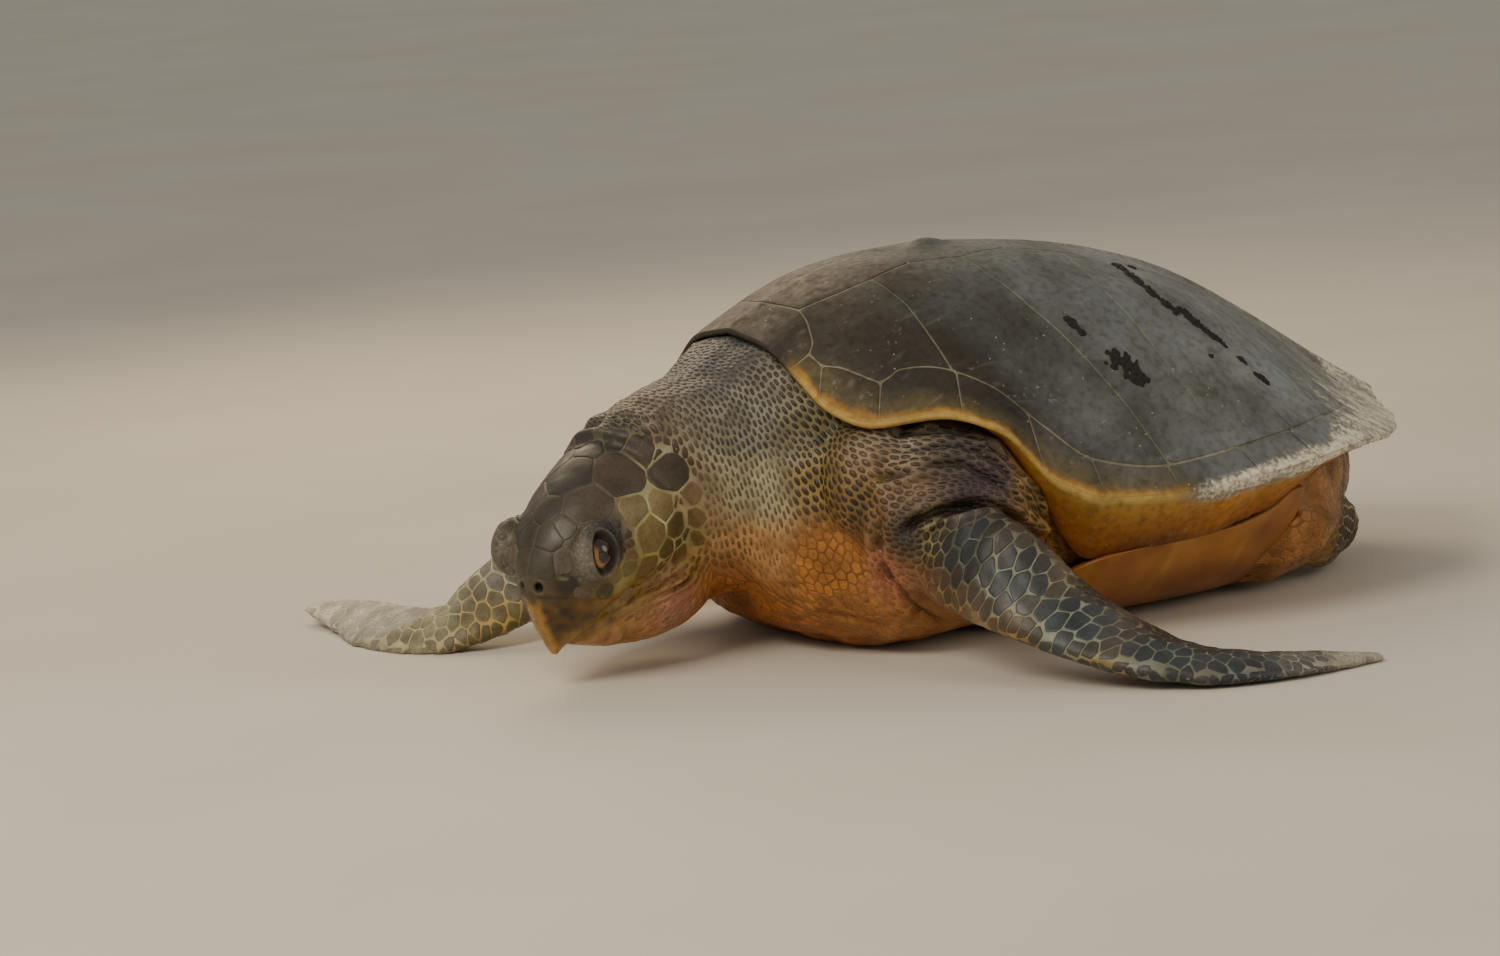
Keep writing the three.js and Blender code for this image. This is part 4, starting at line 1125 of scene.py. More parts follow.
# folds of the hide: places along each, its half width, and its depth (a
# negative depth stands out as a ridge)
FOLDS = (
    ("over_arm", ((206, -292, 112), (219, -279, 127), (230, -266, 133), (236, -251, 136),
                  (244, -238, 138), (250, -222, 135), (243, -195, 119), (231, -165, 99),
                  (205, -132, 82)), 3.8, 8.5),
    ("arm_brow", ((198, -288, 134), (216, -268, 146), (230, -250, 152), (240, -230, 150),
                  (246, -205, 138), (240, -175, 118)), 7.0, -5.0),
    ("shoulder_1", ((112, -296, 202), (130, -279, 190), (169, -261, 194), (192, -237, 197),
                    (206, -214, 193), (225, -194, 174), (235, -176, 146), (228, -154, 116),
                    (205, -125, 88)), 3.2, 4.2),
    ("shoulder_2", ((136, -293, 181), (167, -281, 176), (195, -259, 184), (214, -232, 187),
                    (224, -211, 179), (236, -194, 158), (237, -174, 129), (215, -140, 98)), 3.2, 4.2),
    ("shoulder_3", ((160, -298, 158), (178, -292, 160), (200, -279, 166), (216, -254, 173),
                    (228, -231, 171), (237, -211, 156), (243, -194, 136), (236, -170, 112)), 3.2, 4.4),
    ("shoulder_4", ((150, -280, 214), (172, -250, 214), (196, -226, 212), (212, -204, 200)), 3.2, 1.8),
    ("armpit", ((192, -297, 136), (187, -298, 106), (181, -285, 77), (179, -267, 54),
                (177, -248, 38), (165, -214, 23)), 4.5, 4.5),
    ("armpit_ridge", ((180, -302, 120), (175, -300, 92), (165, -292, 62)), 6.0, -2.5),
    ("chest_1", ((-106, -307, 39), (-74, -312, 30), (0, -330, 28), (74, -312, 30), (106, -307, 39),
                 (127, -293, 37), (143, -277, 30), (152, -249, 18)), 3.6, 2.0),
    ("chest_2", ((-90, -284, 11), (0, -290, 8), (80, -284, 11), (118, -270, 12)), 3.6, 1.6),
    ("chest_3", ((-60, -338, 62), (0, -350, 58), (70, -336, 60), (110, -316, 66)), 4.0, 1.6),
)
HEAD_FOLDS = (
    # left, ahead, up in the head's frame; mirrored for the other side
    ("nape_crease", ((0, -112, 48), (18, -112, 46), (36, -112, 40), (54, -113, 26),
                     (66, -114, 6)), 3.4, 2.6),
    ("nape_roll", ((0, -124, 54), (20, -124, 52), (40, -124, 44), (58, -124, 28)), 8.0, -3.0),
    ("mouth", ((14, 44, -66), (27, 20, -70), (39, -8, -71), (49, -35, -77), (57, -62, -84),
               (62, -86, -86)), 1.8, 5.2),
    ("mouth_corner", ((62, -84, -86), (65, -94, -78), (66, -100, -66)), 3.0, 2.4),
    ("lip_fold", ((44, -14, -61), (49, -36, -67), (56, -60, -75), (63, -86, -74),
                  (67, -98, -60)), 2.2, 3.0),
    ("lip_roll", ((40, -10, -66), (49, -36, -72), (57, -62, -80), (63, -84, -80)), 2.8, -1.8),
    ("nostril_ridge", ((9, 47, 0), (16, 42, 0), (24, 36, -3), (32, 28, -9)), 1.8, -1.5),
    ("jaw_fold_1", ((40, -6, -76), (49, -34, -83), (57, -60, -91), (61, -84, -95)), 2.2, 1.7),
    ("jaw_fold_2", ((38, -4, -84), (47, -32, -92), (54, -58, -100), (59, -82, -105)), 2.4, 1.6),
    ("jaw_fold_3", ((34, -4, -92), (43, -32, -101), (50, -58, -109), (55, -82, -115)), 2.4, 1.5),
    ("jaw_fold_4", ((28, -6, -100), (36, -32, -111), (43, -58, -119), (47, -82, -125)), 2.6, 1.4),
    ("jaw_fold_5", ((18, -8, -105), (25, -34, -118), (31, -60, -128), (34, -84, -133)), 2.6, 1.3),
    ("neck_seam", ((68, -104, -4), (70, -106, -30), (68, -104, -58), (64, -104, -86),
                   (54, -102, -114)), 4.0, 3.4),
)


def along_line(p, line):
    """Distance from each place to a line of places, and how far along it lies, 0 to 1."""
    line = np.asarray(line, float)
    best = np.full(len(p), 1e9)
    share = np.zeros(len(p))
    lengths = np.linalg.norm(np.diff(line, axis=0), axis=1)
    total, run = lengths.sum(), 0.0
    for a, b, length in zip(line[:-1], line[1:], lengths):
        t = np.clip((p - a) @ (b - a) / length ** 2, 0, 1)
        away = np.linalg.norm(p - a - t[:, None] * (b - a), axis=1)
        nearer = away < best
        best = np.where(nearer, away, best)
        share = np.where(nearer, (run + t * length) / total, share)
        run += length
    return best, share


def fold_depth(p, line, width, depth):
    near, share = along_line(p, line)
    fade = smooth_step(0, 0.12, share) * smooth_step(1, 0.85, share)
    profile = np.exp(-(near / width) ** 2) - 0.35 * np.exp(-((near - 2.1 * width) / width) ** 2)
    return depth * profile * fade


def head_line(line, side):
    """A line of the head as body places, on one side of it."""
    return np.array([in_head(a * side, b, c) for a, b, c in line])


def every_fold():
    for name, line, width, depth in FOLDS:
        yield np.array(line, float), width, depth
        if not name.startswith("chest"):
            yield np.array(line, float) * (-1, 1, 1), width, depth
    for _, line, width, depth in HEAD_FOLDS:
        for side in (1, -1):
            yield head_line(line, side), width, depth


SLIT_SLANT = math.radians(20)       # the slit leans back at its top
SLANT_COS, SLANT_SIN = math.cos(SLIT_SLANT), math.sin(SLIT_SLANT)


def eye_frame(p, side):
    """Places round an eye: out of the head, ahead and up, with the slit's slant taken out."""
    h = head_frame(p)
    ahead, up = h[:, 1], h[:, 2]
    return np.stack((h[:, 0] * side - EYE_OUT, ahead * SLANT_COS + up * SLANT_SIN,
                     up * SLANT_COS - ahead * SLANT_SIN), -1)


# half sizes of the bulging lids and of the slit between them, and how far
# ahead of the eye's middle the slit lies
LID_OUT, LID_AHEAD, LID_UP = 19.6, 27.0, 25.5
SLIT_AHEAD, SLIT_UP, SLIT_TURN = 13.0, 28.0, 8.0


def shape_lids(co):
    """Draws the skin into the bulging lids and back behind the eye in their slit."""
    p = body(co)
    for side in (1, -1):
        e = eye_frame(p, side)
        away = np.linalg.norm(e, axis=1)
        near = (away < 42) & (e[:, 0] > -14)
        d = unit(e[near])
        lid = 1 / np.sqrt((d[:, 0] / LID_OUT) ** 2 + (d[:, 1] / LID_AHEAD) ** 2 + (d[:, 2] / LID_UP) ** 2)
        out = np.maximum(d[:, 0], 0.05)
        across = d[:, 1] / out * EYE_R - SLIT_TURN
        along = d[:, 2] / out * EYE_R
        slit = np.sqrt((across / SLIT_AHEAD) ** 2 + (along / SLIT_UP) ** 2)
        slit = np.where(d[:, 0] > 0.15, slit, 9)
        lid = lid - 1.6 * smooth_step(0, 0.9, d[:, 1]) * smooth_step(2.4, 1.2, slit)
        roll = 1.1 * np.exp(-((slit - 1.2) / 0.14) ** 2)
        wrinkle = 0.42 * np.sin(slit * 19 + 0.9 * np.sin(3 * np.arctan2(along, across)))
        wrinkle = wrinkle * smooth_step(1.2, 1.45, slit) * smooth_step(3.4, 1.9, slit)
        lid = lid + roll + wrinkle
        behind = EYE_R - 1.6 + (lid - EYE_R + 1.6) * smooth_step(0.88, 1.12, slit)
        lid = np.where(slit < 1.25, behind, lid)
        lidded = smooth_step(-6, 4, e[near][:, 0]) * smooth_step(36, 28, away[near])
        target = np.maximum(lid, away[near]) * (slit > 1.5) + lid * (slit <= 1.5)
        radius = away[near] + (target - away[near]) * lidded
        moved = d * radius[:, None]
        delta = moved - e[near]
        ahead = delta[:, 1] * SLANT_COS - delta[:, 2] * SLANT_SIN
        up = delta[:, 1] * SLANT_SIN + delta[:, 2] * SLANT_COS
        p[near] += (delta[:, 0] * side)[:, None] * LEFT + ahead[:, None] * AHEAD + up[:, None] * OVER
    return world(p)


NOSTRIL = (9.0, 45.0, -6.0)         # left, ahead, up
NOSTRIL_R, NOSTRIL_DEPTH = 3.1, 5.0


def nostril_distance(p):
    """Distance to the nearer nostril, each a little taller than wide."""
    h = head_frame(p)
    return np.sqrt((np.abs(h[:, 0]) - NOSTRIL[0]) ** 2 + (h[:, 1] - NOSTRIL[1]) ** 2
                   + ((h[:, 2] - NOSTRIL[2]) * 0.8) ** 2)


def from_eye(h):
    """Distance to the nearer eye's centre, for places in the head's frame."""
    return np.linalg.norm(np.stack((np.abs(h[:, 0]) - EYE_OUT, h[:, 1], h[:, 2]), -1), axis=1)


def in_fold_zone(co):
    p = body(co)
    near = np.zeros(len(p), bool)
    for _, line, _, _ in FOLDS:
        for side in (1, -1):
            near |= along_line(p, np.array(line, float) * (side, 1, 1))[0] < 10
    return near


def subdivide_where(bm, test):
    """Cuts the faces whose centre passes the test into finer ones."""
    faces = [f for f, keep in zip(bm.faces, test(np.array([f.calc_center_median() for f in bm.faces])))
             if keep]
    edges = list({e for f in faces for e in f.edges})
    bmesh.ops.subdivide_edges(bm, edges=edges, cuts=1, use_grid_fill=True)


def in_head_zone(co):
    h = head_frame(body(co))
    return (h[:, 1] > -118) & (h[:, 1] < 60) & (np.abs(h[:, 0]) < 90) & (h[:, 2] > -150)


def in_fine_zone(co):
    p = body(co)
    h = head_frame(p)
    eye = from_eye(h) < 33
    mouth = np.zeros(len(p), bool)
    for s in (1, -1):
        mouth |= np.linalg.norm(p - in_head(NOSTRIL[0] * s, *NOSTRIL[1:]), axis=1) < 10
    horn_margin = (h[:, 2] > -27) & (h[:, 2] < -8) & (h[:, 1] > 0) & (np.abs(h[:, 0]) < 47)
    mouth |= horn_margin
    for name, line, _, _ in HEAD_FOLDS:
        if name in ("mouth", "lip_fold", "lip_roll", "nostril_ridge"):
            for s in (1, -1):
                mouth |= along_line(p, head_line(line, s))[0] < 9
    return eye | mouth


def along_ridge(p):
    """Distance to the pale ridge that runs back from each nostril."""
    line = next(line for name, line, _, _ in HEAD_FOLDS if name == "nostril_ridge")
    sides = [along_line(p, head_line(line, side))[0] for side in (1, -1)]
    return np.minimum(*sides)


def solid_tree(nodes):
    """A search tree over some of the solids, in body mm."""
    places, faces, start = [], [], 0
    for node in nodes:
        bm = copy_of(node)
        places += [body(v.co).tolist() for v in bm.verts]
        faces += [[v.index + start for v in f.verts] for f in bm.faces]
        start = len(places)
        bm.free()
    return BVHTree.FromPolygons(places, faces)


def up_to_shell(p, cover):
    """Fills the skin out to the solids' own edge where it meets the shell's rim."""
    solids = solid_tree(("trunk", "neck"))
    for i in np.flatnonzero((p[:, 1] < -80) & (p[:, 2] > 60) & (p[:, 1] > -345)):
        near = cover.find_nearest(p[i].tolist(), 15.0)
        if near[0] is not None:
            spot = solids.find_nearest(p[i].tolist(), 9.0)
            if spot[0] is not None:
                share = float(smooth_step(15, 8, near[3]))
                p[i] += (np.array(spot[0]) - p[i]) * share
    return p


def thin_hidden(skin, cover):
    """Coarser faces where the shell and plastron hide the skin."""
    co, normal, _ = mesh_arrays(skin.data)
    p = body(co)
    hidden = np.zeros(len(p))
    for i, (place, out) in enumerate(zip((p + normal * 0.6).tolist(), normal.tolist())):
        if cover.ray_cast(place, out, 60.0)[0] is not None:
            hidden[i] = 1.0
    hidden *= 1 - in_head_zone(co)
    group = skin.vertex_groups.new(name="hidden")
    head = in_head_zone(co)
    for weight, chosen in ((1.0, hidden > 0), (0.02, (hidden == 0) & head), (0.3, (hidden == 0) & ~head)):
        group.add(np.flatnonzero(chosen).tolist(), weight, "REPLACE")
    thin = skin.modifiers.new("thin", "DECIMATE")
    thin.ratio = SKIN_TRIANGLES / sum(len(f.vertices) - 2 for f in skin.data.polygons)
    thin.vertex_group = "hidden"
    thin.vertex_group_factor = 1.0
    thinned = bpy.data.meshes.new_from_object(skin.evaluated_get(bpy.context.evaluated_depsgraph_get()))
    skin.modifiers.clear()
    skin.vertex_groups.clear()
    skin.data = thinned


def build_skin(horn, cover):
    """One skin over all the flesh: fused, evened, drawn into lids and folded."""
    inside = ("eye_left", "eye_right", "beak_upper", "beak_lower")
    skin = remeshed("skin", FLESH + inside, SKIN_VOXEL, JOIN_GROW)
    mesh = skin.data
    co, _, edges = mesh_arrays(mesh)
    tips = smooth_step(30, 70, np.abs(body(co)[:, 0]) - 380)
    co = relax(co, edges, 34, weight=1 - 0.5 * tips)
    set_places(mesh, world(up_to_shell(body(co), cover)))
    bm = bmesh.new()
    bm.from_mesh(mesh)
    subdivide_where(bm, in_head_zone)
    subdivide_where(bm, in_fine_zone)
    subdivide_where(bm, in_fold_zone)
    bm.to_mesh(mesh)
    bm.free()
    co, _, edges = mesh_arrays(mesh)
    zone = in_head_zone(co).astype(float)
    co = relax(co, edges, 6, weight=zone)
    co = shape_lids(co)
    set_places(mesh, co)
    co, normal, edges = mesh_arrays(mesh)
    fine = in_fine_zone(co).astype(float)
    co = relax(co, edges, 1, 0.4, -0.2, weight=fine)
    p = body(co)
    sink = np.full(len(p), COAT_DEPTH)
    for line, width, depth in every_fold():
        sink += fold_depth(p, line, width, depth)
    creases = np.maximum(sink - COAT_DEPTH, 0)
    lumps = 0.5 * waves(p, 40, 31) + 0.25 * waves(p, 16, 32)
    h = head_frame(p)
    off_eye = smooth_step(24, 34, from_eye(h))
    sink = sink * off_eye + lumps * off_eye * (1 - zone * 0.6)
    hole = nostril_distance(p)
    sink += NOSTRIL_DEPTH * np.exp(-(hole / NOSTRIL_R) ** 4) - 0.9 * np.exp(-((hole - 5.2) / 1.5) ** 2)
    face = solid_tree(("head", "jaw"))
    by_horn = np.zeros(len(p))
    for i in np.flatnonzero(zone > 0):
        near = horn.find_nearest(p[i].tolist(), 6.0)
        if near[0] is not None:
            # the hide laps a little over the horn's root, then dives under it
            lip = float(smooth_step(3.4, 0.9, face.find_nearest(p[i].tolist())[3]))
            sink[i] = (1 - lip) * 1.7 + lip * (sink[i] - 1.15 * float(smooth_step(5.0, 1.2, near[3])))
            by_horn[i] = float(smooth_step(6.0, 0.5, near[3]))
    p = p - normal * sink[:, None]
    p[:, 2] = np.maximum(p[:, 2], 0.25)
    set_places(mesh, world(p))
    # painted shade: the hide is darkened where its folds and creases sink deepest
    hide = coat_at(p)["skin"] * (1 - 0.66 * smooth_step(0.6, 3.6, creases))[:, None]
    # painted shade: near black inside each nostril's hole
    hide = mixed(hide, srgb("#100c09"), smooth_step(4.6, 3.0, hole))
    slit = slit_of(p)
    rim = np.exp(-((slit - 1.2) / 0.12) ** 2) * (0.55 + 0.45 * waves(p, 3.2, 41))
    hide = mixed(hide, srgb("#8d8169"), np.clip(rim, 0, 1) * 0.7)
    # painted shade: dark skin deep in each eye's slit, drawn back behind the eyeball
    hide = mixed(hide, srgb("#1c1714"), smooth_step(1.12, 1.02, slit))
    hide = mixed(hide, horn_pigment(h, p), by_horn * 0.85)
    ridge = along_ridge(p)
    hide = mixed(hide, srgb("#9a9277"), np.exp(-(ridge / 1.5) ** 2) * 0.8)
    paint(skin, "pigment_and_shade", hide)
    thin_hidden(skin, cover)
    return skin


# ------------------------------------------------------------------ scales
# the big plates of the head: left, ahead and up in its frame, and their reach;
# those off the middle are on both sides
HEAD_PLATES = (
    (11, 33, 12, 11), (14, 13, 24, 12), (0, -10, 34, 12), (32, -24, 30, 20), (0, -50, 42, 23),
    (36, -68, 32, 22), (40, -98, 32, 14), (62, -99, 8, 17), (55, -50, 5, 11), (61, -78, -10, 13),
    (62, -82, -35, 11), (60, -52, -22, 16), (60, -98, -60, 9), (56, -76, -64, 10), (52, -38, -47, 11),
    (72, -103, -16, 9), (61, -62, -48, 8), (30, 24, 8, 10), (18, -98, 45, 12),
    (0, -84, 46, 12), (70, -96, -40, 9), (25, 3, 30, 11),
)
HEAD_PLATE_RISE = 0.7
NOSTRIL_ROOM = 5.5                  # no plate grows round a nostril
LID_REACH = 27.0                    # from the eye's centre, the lids' own granules
SCALE_NEIGHBOURS = 16


class Surface:
    """The skin as a surface that places are set down on, in body mm."""

    def __init__(self, piece):
        co, self.normal, _ = mesh_arrays(piece.data)
        self.co = body(co)
        piece.data.calc_loop_triangles()
        faces = np.empty(len(piece.data.loop_triangles) * 3, dtype=np.int64)
        piece.data.loop_triangles.foreach_get("vertices", faces)
        self.faces = faces.reshape(-1, 3)
        self.tree = BVHTree.FromPolygons(self.co.tolist(), self.faces.tolist())

    def set_down(self, p):
        """The nearest place of the skin to each place, and its smooth normal."""
        spot = np.empty((len(p), 3))
        face = np.empty(len(p), dtype=np.int64)
        for i, place in enumerate(p.tolist()):
            found = self.tree.find_nearest(place)
            spot[i] = found[0]
            face[i] = found[2]
        corners = self.faces[face]
        weight = 1 / (np.linalg.norm(self.co[corners] - spot[:, None], axis=2) + 0.2)
        return spot, unit((self.normal[corners] * weight[..., None]).sum(1))


def tree_of(*pieces):
    """One search tree over some finished pieces, in body mm."""
    places, faces, start = [], [], 0
    for piece in pieces:
        co = body(mesh_arrays(piece.data)[0])
        places.append(co)
        faces.extend([v + start for v in f.vertices] for f in piece.data.polygons)
        start += len(co)
    return BVHTree.FromPolygons(np.concatenate(places).tolist(), faces)


def slit_of(p):
    """How far out from the open slit each place of a lid lies: 1 at the eye's edge."""
    best = np.full(len(p), 9.0)
    for side in (1, -1):
        e = eye_frame(p, side)
        out = np.maximum(e[:, 0], 0.05)
        slit = np.hypot((e[:, 1] / out * EYE_R - SLIT_TURN) / SLIT_AHEAD, e[:, 2] / out * EYE_R / SLIT_UP)
        near = (np.linalg.norm(e, axis=1) < 34) & (e[:, 0] > 2)
        best = np.where(near, np.minimum(best, slit), best)
    return best


def bare(p, normal, cover, horn):
    """True where no scale grows: the eye's slit, the beak's root, deep under the shell."""
    empty = (slit_of(p) < 1.5) | (nostril_distance(p) < 6.5)
    for i in np.flatnonzero(~empty):
        near_horn = horn.find_nearest(p[i].tolist(), 3.0)
        if near_horn[0] is not None:
            empty[i] = True
            continue
        start = p[i] + normal[i] * 0.6
        deep = abs(p[i, 0]) < 170 and p[i, 1] > -262
        hit = cover.ray_cast(start.tolist(), normal[i].tolist(), 70.0 if deep else 9.0)
        empty[i] = hit[0] is not None and (hit[3] < 2.0 or p[i, 1] > -262)
    return empty


def first_roots(surface):
    """Random roots over the skin, as many in each place as the coat table asks for."""
    tri = surface.co[surface.faces]
    area = np.linalg.norm(np.cross(tri[:, 1] - tri[:, 0], tri[:, 2] - tri[:, 0]), axis=1) / 2
    coat = coat_at(tri.mean(1))
    running = np.cumsum(area / (coat["width"] ** 2 * coat["stretch"]))
    count = int(running[-1])
    face = np.searchsorted(running, (np.arange(count) + rng.random(count)) * running[-1] / count)
    face = np.minimum(face, len(tri) - 1)
    a, b = rng.random((2, count))
    flip = a + b > 1
    a, b = np.where(flip, 1 - a, a), np.where(flip, 1 - b, b)
    corner = tri[face]
    return corner[:, 0] + a[:, None] * (corner[:, 1] - corner[:, 0]) + b[:, None] * (
        corner[:, 2] - corner[:, 0])


def tangent_frame(normal, lie):
    along = unit(lie - (lie * normal).sum(1, keepdims=True) * normal + 1e-9)
    return along, np.cross(normal, along)


def cells(roots, chosen, near_count, turn):
    """Reach of each chosen scale in every direction: half way to its neighbours."""
    place, size = roots["place"], roots["size"]
    tree = KDTree(len(place))
    for i, p in enumerate(place.tolist()):
        tree.insert(p, i)
    tree.balance()
    near = np.array([[hit[1] for hit in tree.find_n(place[i].tolist(), near_count + 1)][1:]
                     for i in chosen])
    offset = place[near] - place[chosen][:, None]
    u = (offset * roots["along"][chosen][:, None]).sum(2)
    v = (offset * roots["across"][chosen][:, None]).sum(2)
    round_the_curve = np.linalg.norm(offset, axis=2) / np.maximum(np.hypot(u, v), 0.05)
    round_the_curve = np.clip(round_the_curve, 1, 1.3)
    u, v = u * round_the_curve / roots["stretch"][chosen][:, None], v * round_the_curve
    away = np.maximum(np.hypot(u, v), 0.05)
    own = size[chosen][:, None]
    wall = np.maximum((away ** 2 + own ** 2 - size[near] ** 2) / (2 * away), 0.3)
    facing = (roots["normal"][near] * roots["normal"][chosen][:, None]).sum(2) > -0.1
    wall = np.where(facing, wall, 1e6)
    cosine = (u / away)[..., None] * np.cos(turn) + (v / away)[..., None] * np.sin(turn)
    reach = np.where(cosine > 0.04, wall[..., None] / np.maximum(cosine, 0.04), 1e6).min(1)
    return np.minimum(reach, np.where(roots["plate"][chosen] > 0, 1.5, 2.1)[:, None] * own)


def dress(roots):
    """Coat numbers and frames for roots that have been set down."""
    coat = coat_at(roots["place"])
    roots["coat"] = coat
    plates = roots["plate"]
    roots["stretch"] = np.where(plates > 0, 1.0, coat["stretch"])
    roots["size"] = np.where(plates > 0, plates, coat["width"] / 2)
    roots["along"], roots["across"] = tangent_frame(roots["normal"], coat["lie"])
    return roots


def plated(p):
    """True on the crown, snout and cheeks, where only the big plates grow."""
    h = head_frame(p)
    return (from_eye(h) > LID_REACH) & (h[:, 1] > -94) & (h[:, 2] > -58 - 0.25 * (h[:, 1] + 40))


def plate_roots():
    places, reach = [], []
    for left, ahead, up, radius in HEAD_PLATES + ((*NOSTRIL, NOSTRIL_ROOM),):
        for side in ((1, -1) if left else (1,)):
            places.append(in_head(left * side, ahead, up))
            reach.append(radius)
    return np.array(places), np.array(reach, float)


SETTLE_ROUNDS = 6                   # the roots are evenly spread by then


def settle_roots(surface, cover, horn):
    """Roots spread evenly, each pushed to the middle of its own cell of the mosaic."""
    plates, plate_reach = plate_roots()
    plates, plate_normal = surface.set_down(plates)
    free, normal = surface.set_down(first_roots(surface))
    keep = ~bare(free, normal, cover, horn)
    from_plates = np.linalg.norm(free[:, None] - plates[None], axis=2) - plate_reach
    keep &= (from_plates.min(1) > 0.5) & ~plated(free)
    free, normal = free[keep], normal[keep]
    roots = {"place": np.vstack((plates, free)), "normal": np.vstack((plate_normal, normal)),
             "plate": np.concatenate((plate_reach, np.zeros(len(free))))}
    moving = np.arange(len(plates), len(roots["place"]))
    turn = np.linspace(0, 2 * math.pi, 10, endpoint=False)
    for _ in range(SETTLE_ROUNDS):
        dress(roots)
        reach = cells(roots, moving, SCALE_NEIGHBOURS, turn)
        total = (reach ** 2).sum(1)
        u = (reach ** 3 * np.cos(turn)).sum(1) * 2 / 3 / total * roots["stretch"][moving]
        v = (reach ** 3 * np.sin(turn)).sum(1) * 2 / 3 / total
        moved = roots["place"][moving] + u[:, None] * roots["along"][moving] + (
            v[:, None] * roots["across"][moving])
        roots["place"][moving], roots["normal"][moving] = surface.set_down(moved)
    return dress(roots)


CHART_FACES = 24000                 # of the coarse copy that is laid out flat
CHART_ANGLE = math.radians(70)


def unwrapped(skin):
    """A coarse copy of the skin laid out flat: its search tree, corners and chart places."""
    copy = skin.copy()
    copy.data = skin.data.copy()
    bpy.context.scene.collection.objects.link(copy)
    thin = copy.modifiers.new("coarse", "DECIMATE")
    thin.ratio = min(1.0, CHART_FACES / len(copy.data.polygons))
    mesh = bpy.data.meshes.new_from_object(copy.evaluated_get(bpy.context.evaluated_depsgraph_get()))
    copy.modifiers.clear()
    copy.data = mesh
    for other in bpy.context.view_layer.objects:
        other.select_set(other == copy)
    bpy.context.view_layer.objects.active = copy
    bpy.ops.object.mode_set(mode="EDIT")
    bpy.ops.mesh.select_all(action="SELECT")
    bpy.ops.uv.smart_project(angle_limit=CHART_ANGLE, island_margin=0.001)
    bpy.ops.object.mode_set(mode="OBJECT")
    mesh = copy.data
    mesh.calc_loop_triangles()
    co = body(mesh_arrays(mesh)[0])
    faces = np.array([t.vertices[:] for t in mesh.loop_triangles])
    loops = np.array([t.loops[:] for t in mesh.loop_triangles])
    chart = np.empty(len(mesh.loops) * 2)
    mesh.uv_layers.active.data.foreach_get("uv", chart)
    tree = BVHTree.FromPolygons(co.tolist(), faces.tolist())
    bpy.data.objects.remove(copy)
    bpy.data.meshes.remove(mesh)
    return tree, co[faces], chart.reshape(-1, 2)[loops]


def chart_places(flat, places):
    """Where each root lies on the skin's unwrap."""
    tree, corners, charts = flat
    face = np.array([tree.find_nearest(p)[2] for p in places.tolist()])
    corner, chart = corners[face], charts[face]
    edge_1, edge_2 = corner[:, 1] - corner[:, 0], corner[:, 2] - corner[:, 0]
    offset = places - corner[:, 0]
    d11, d12, d22 = (edge_1 ** 2).sum(1), (edge_1 * edge_2).sum(1), (edge_2 ** 2).sum(1)
    o1, o2 = (offset * edge_1).sum(1), (offset * edge_2).sum(1)
    scale = np.maximum(d11 * d22 - d12 ** 2, 1e-9)
    b = np.clip((d22 * o1 - d12 * o2) / scale, 0, 1)
    c = np.clip((d11 * o2 - d12 * o1) / scale, 0, 1)
    return chart[:, 0] * (1 - b - c)[:, None] + chart[:, 1] * b[:, None] + chart[:, 2] * c[:, None]


CHART_PATCH = 0.0015                # half a scale's patch on the unwrap


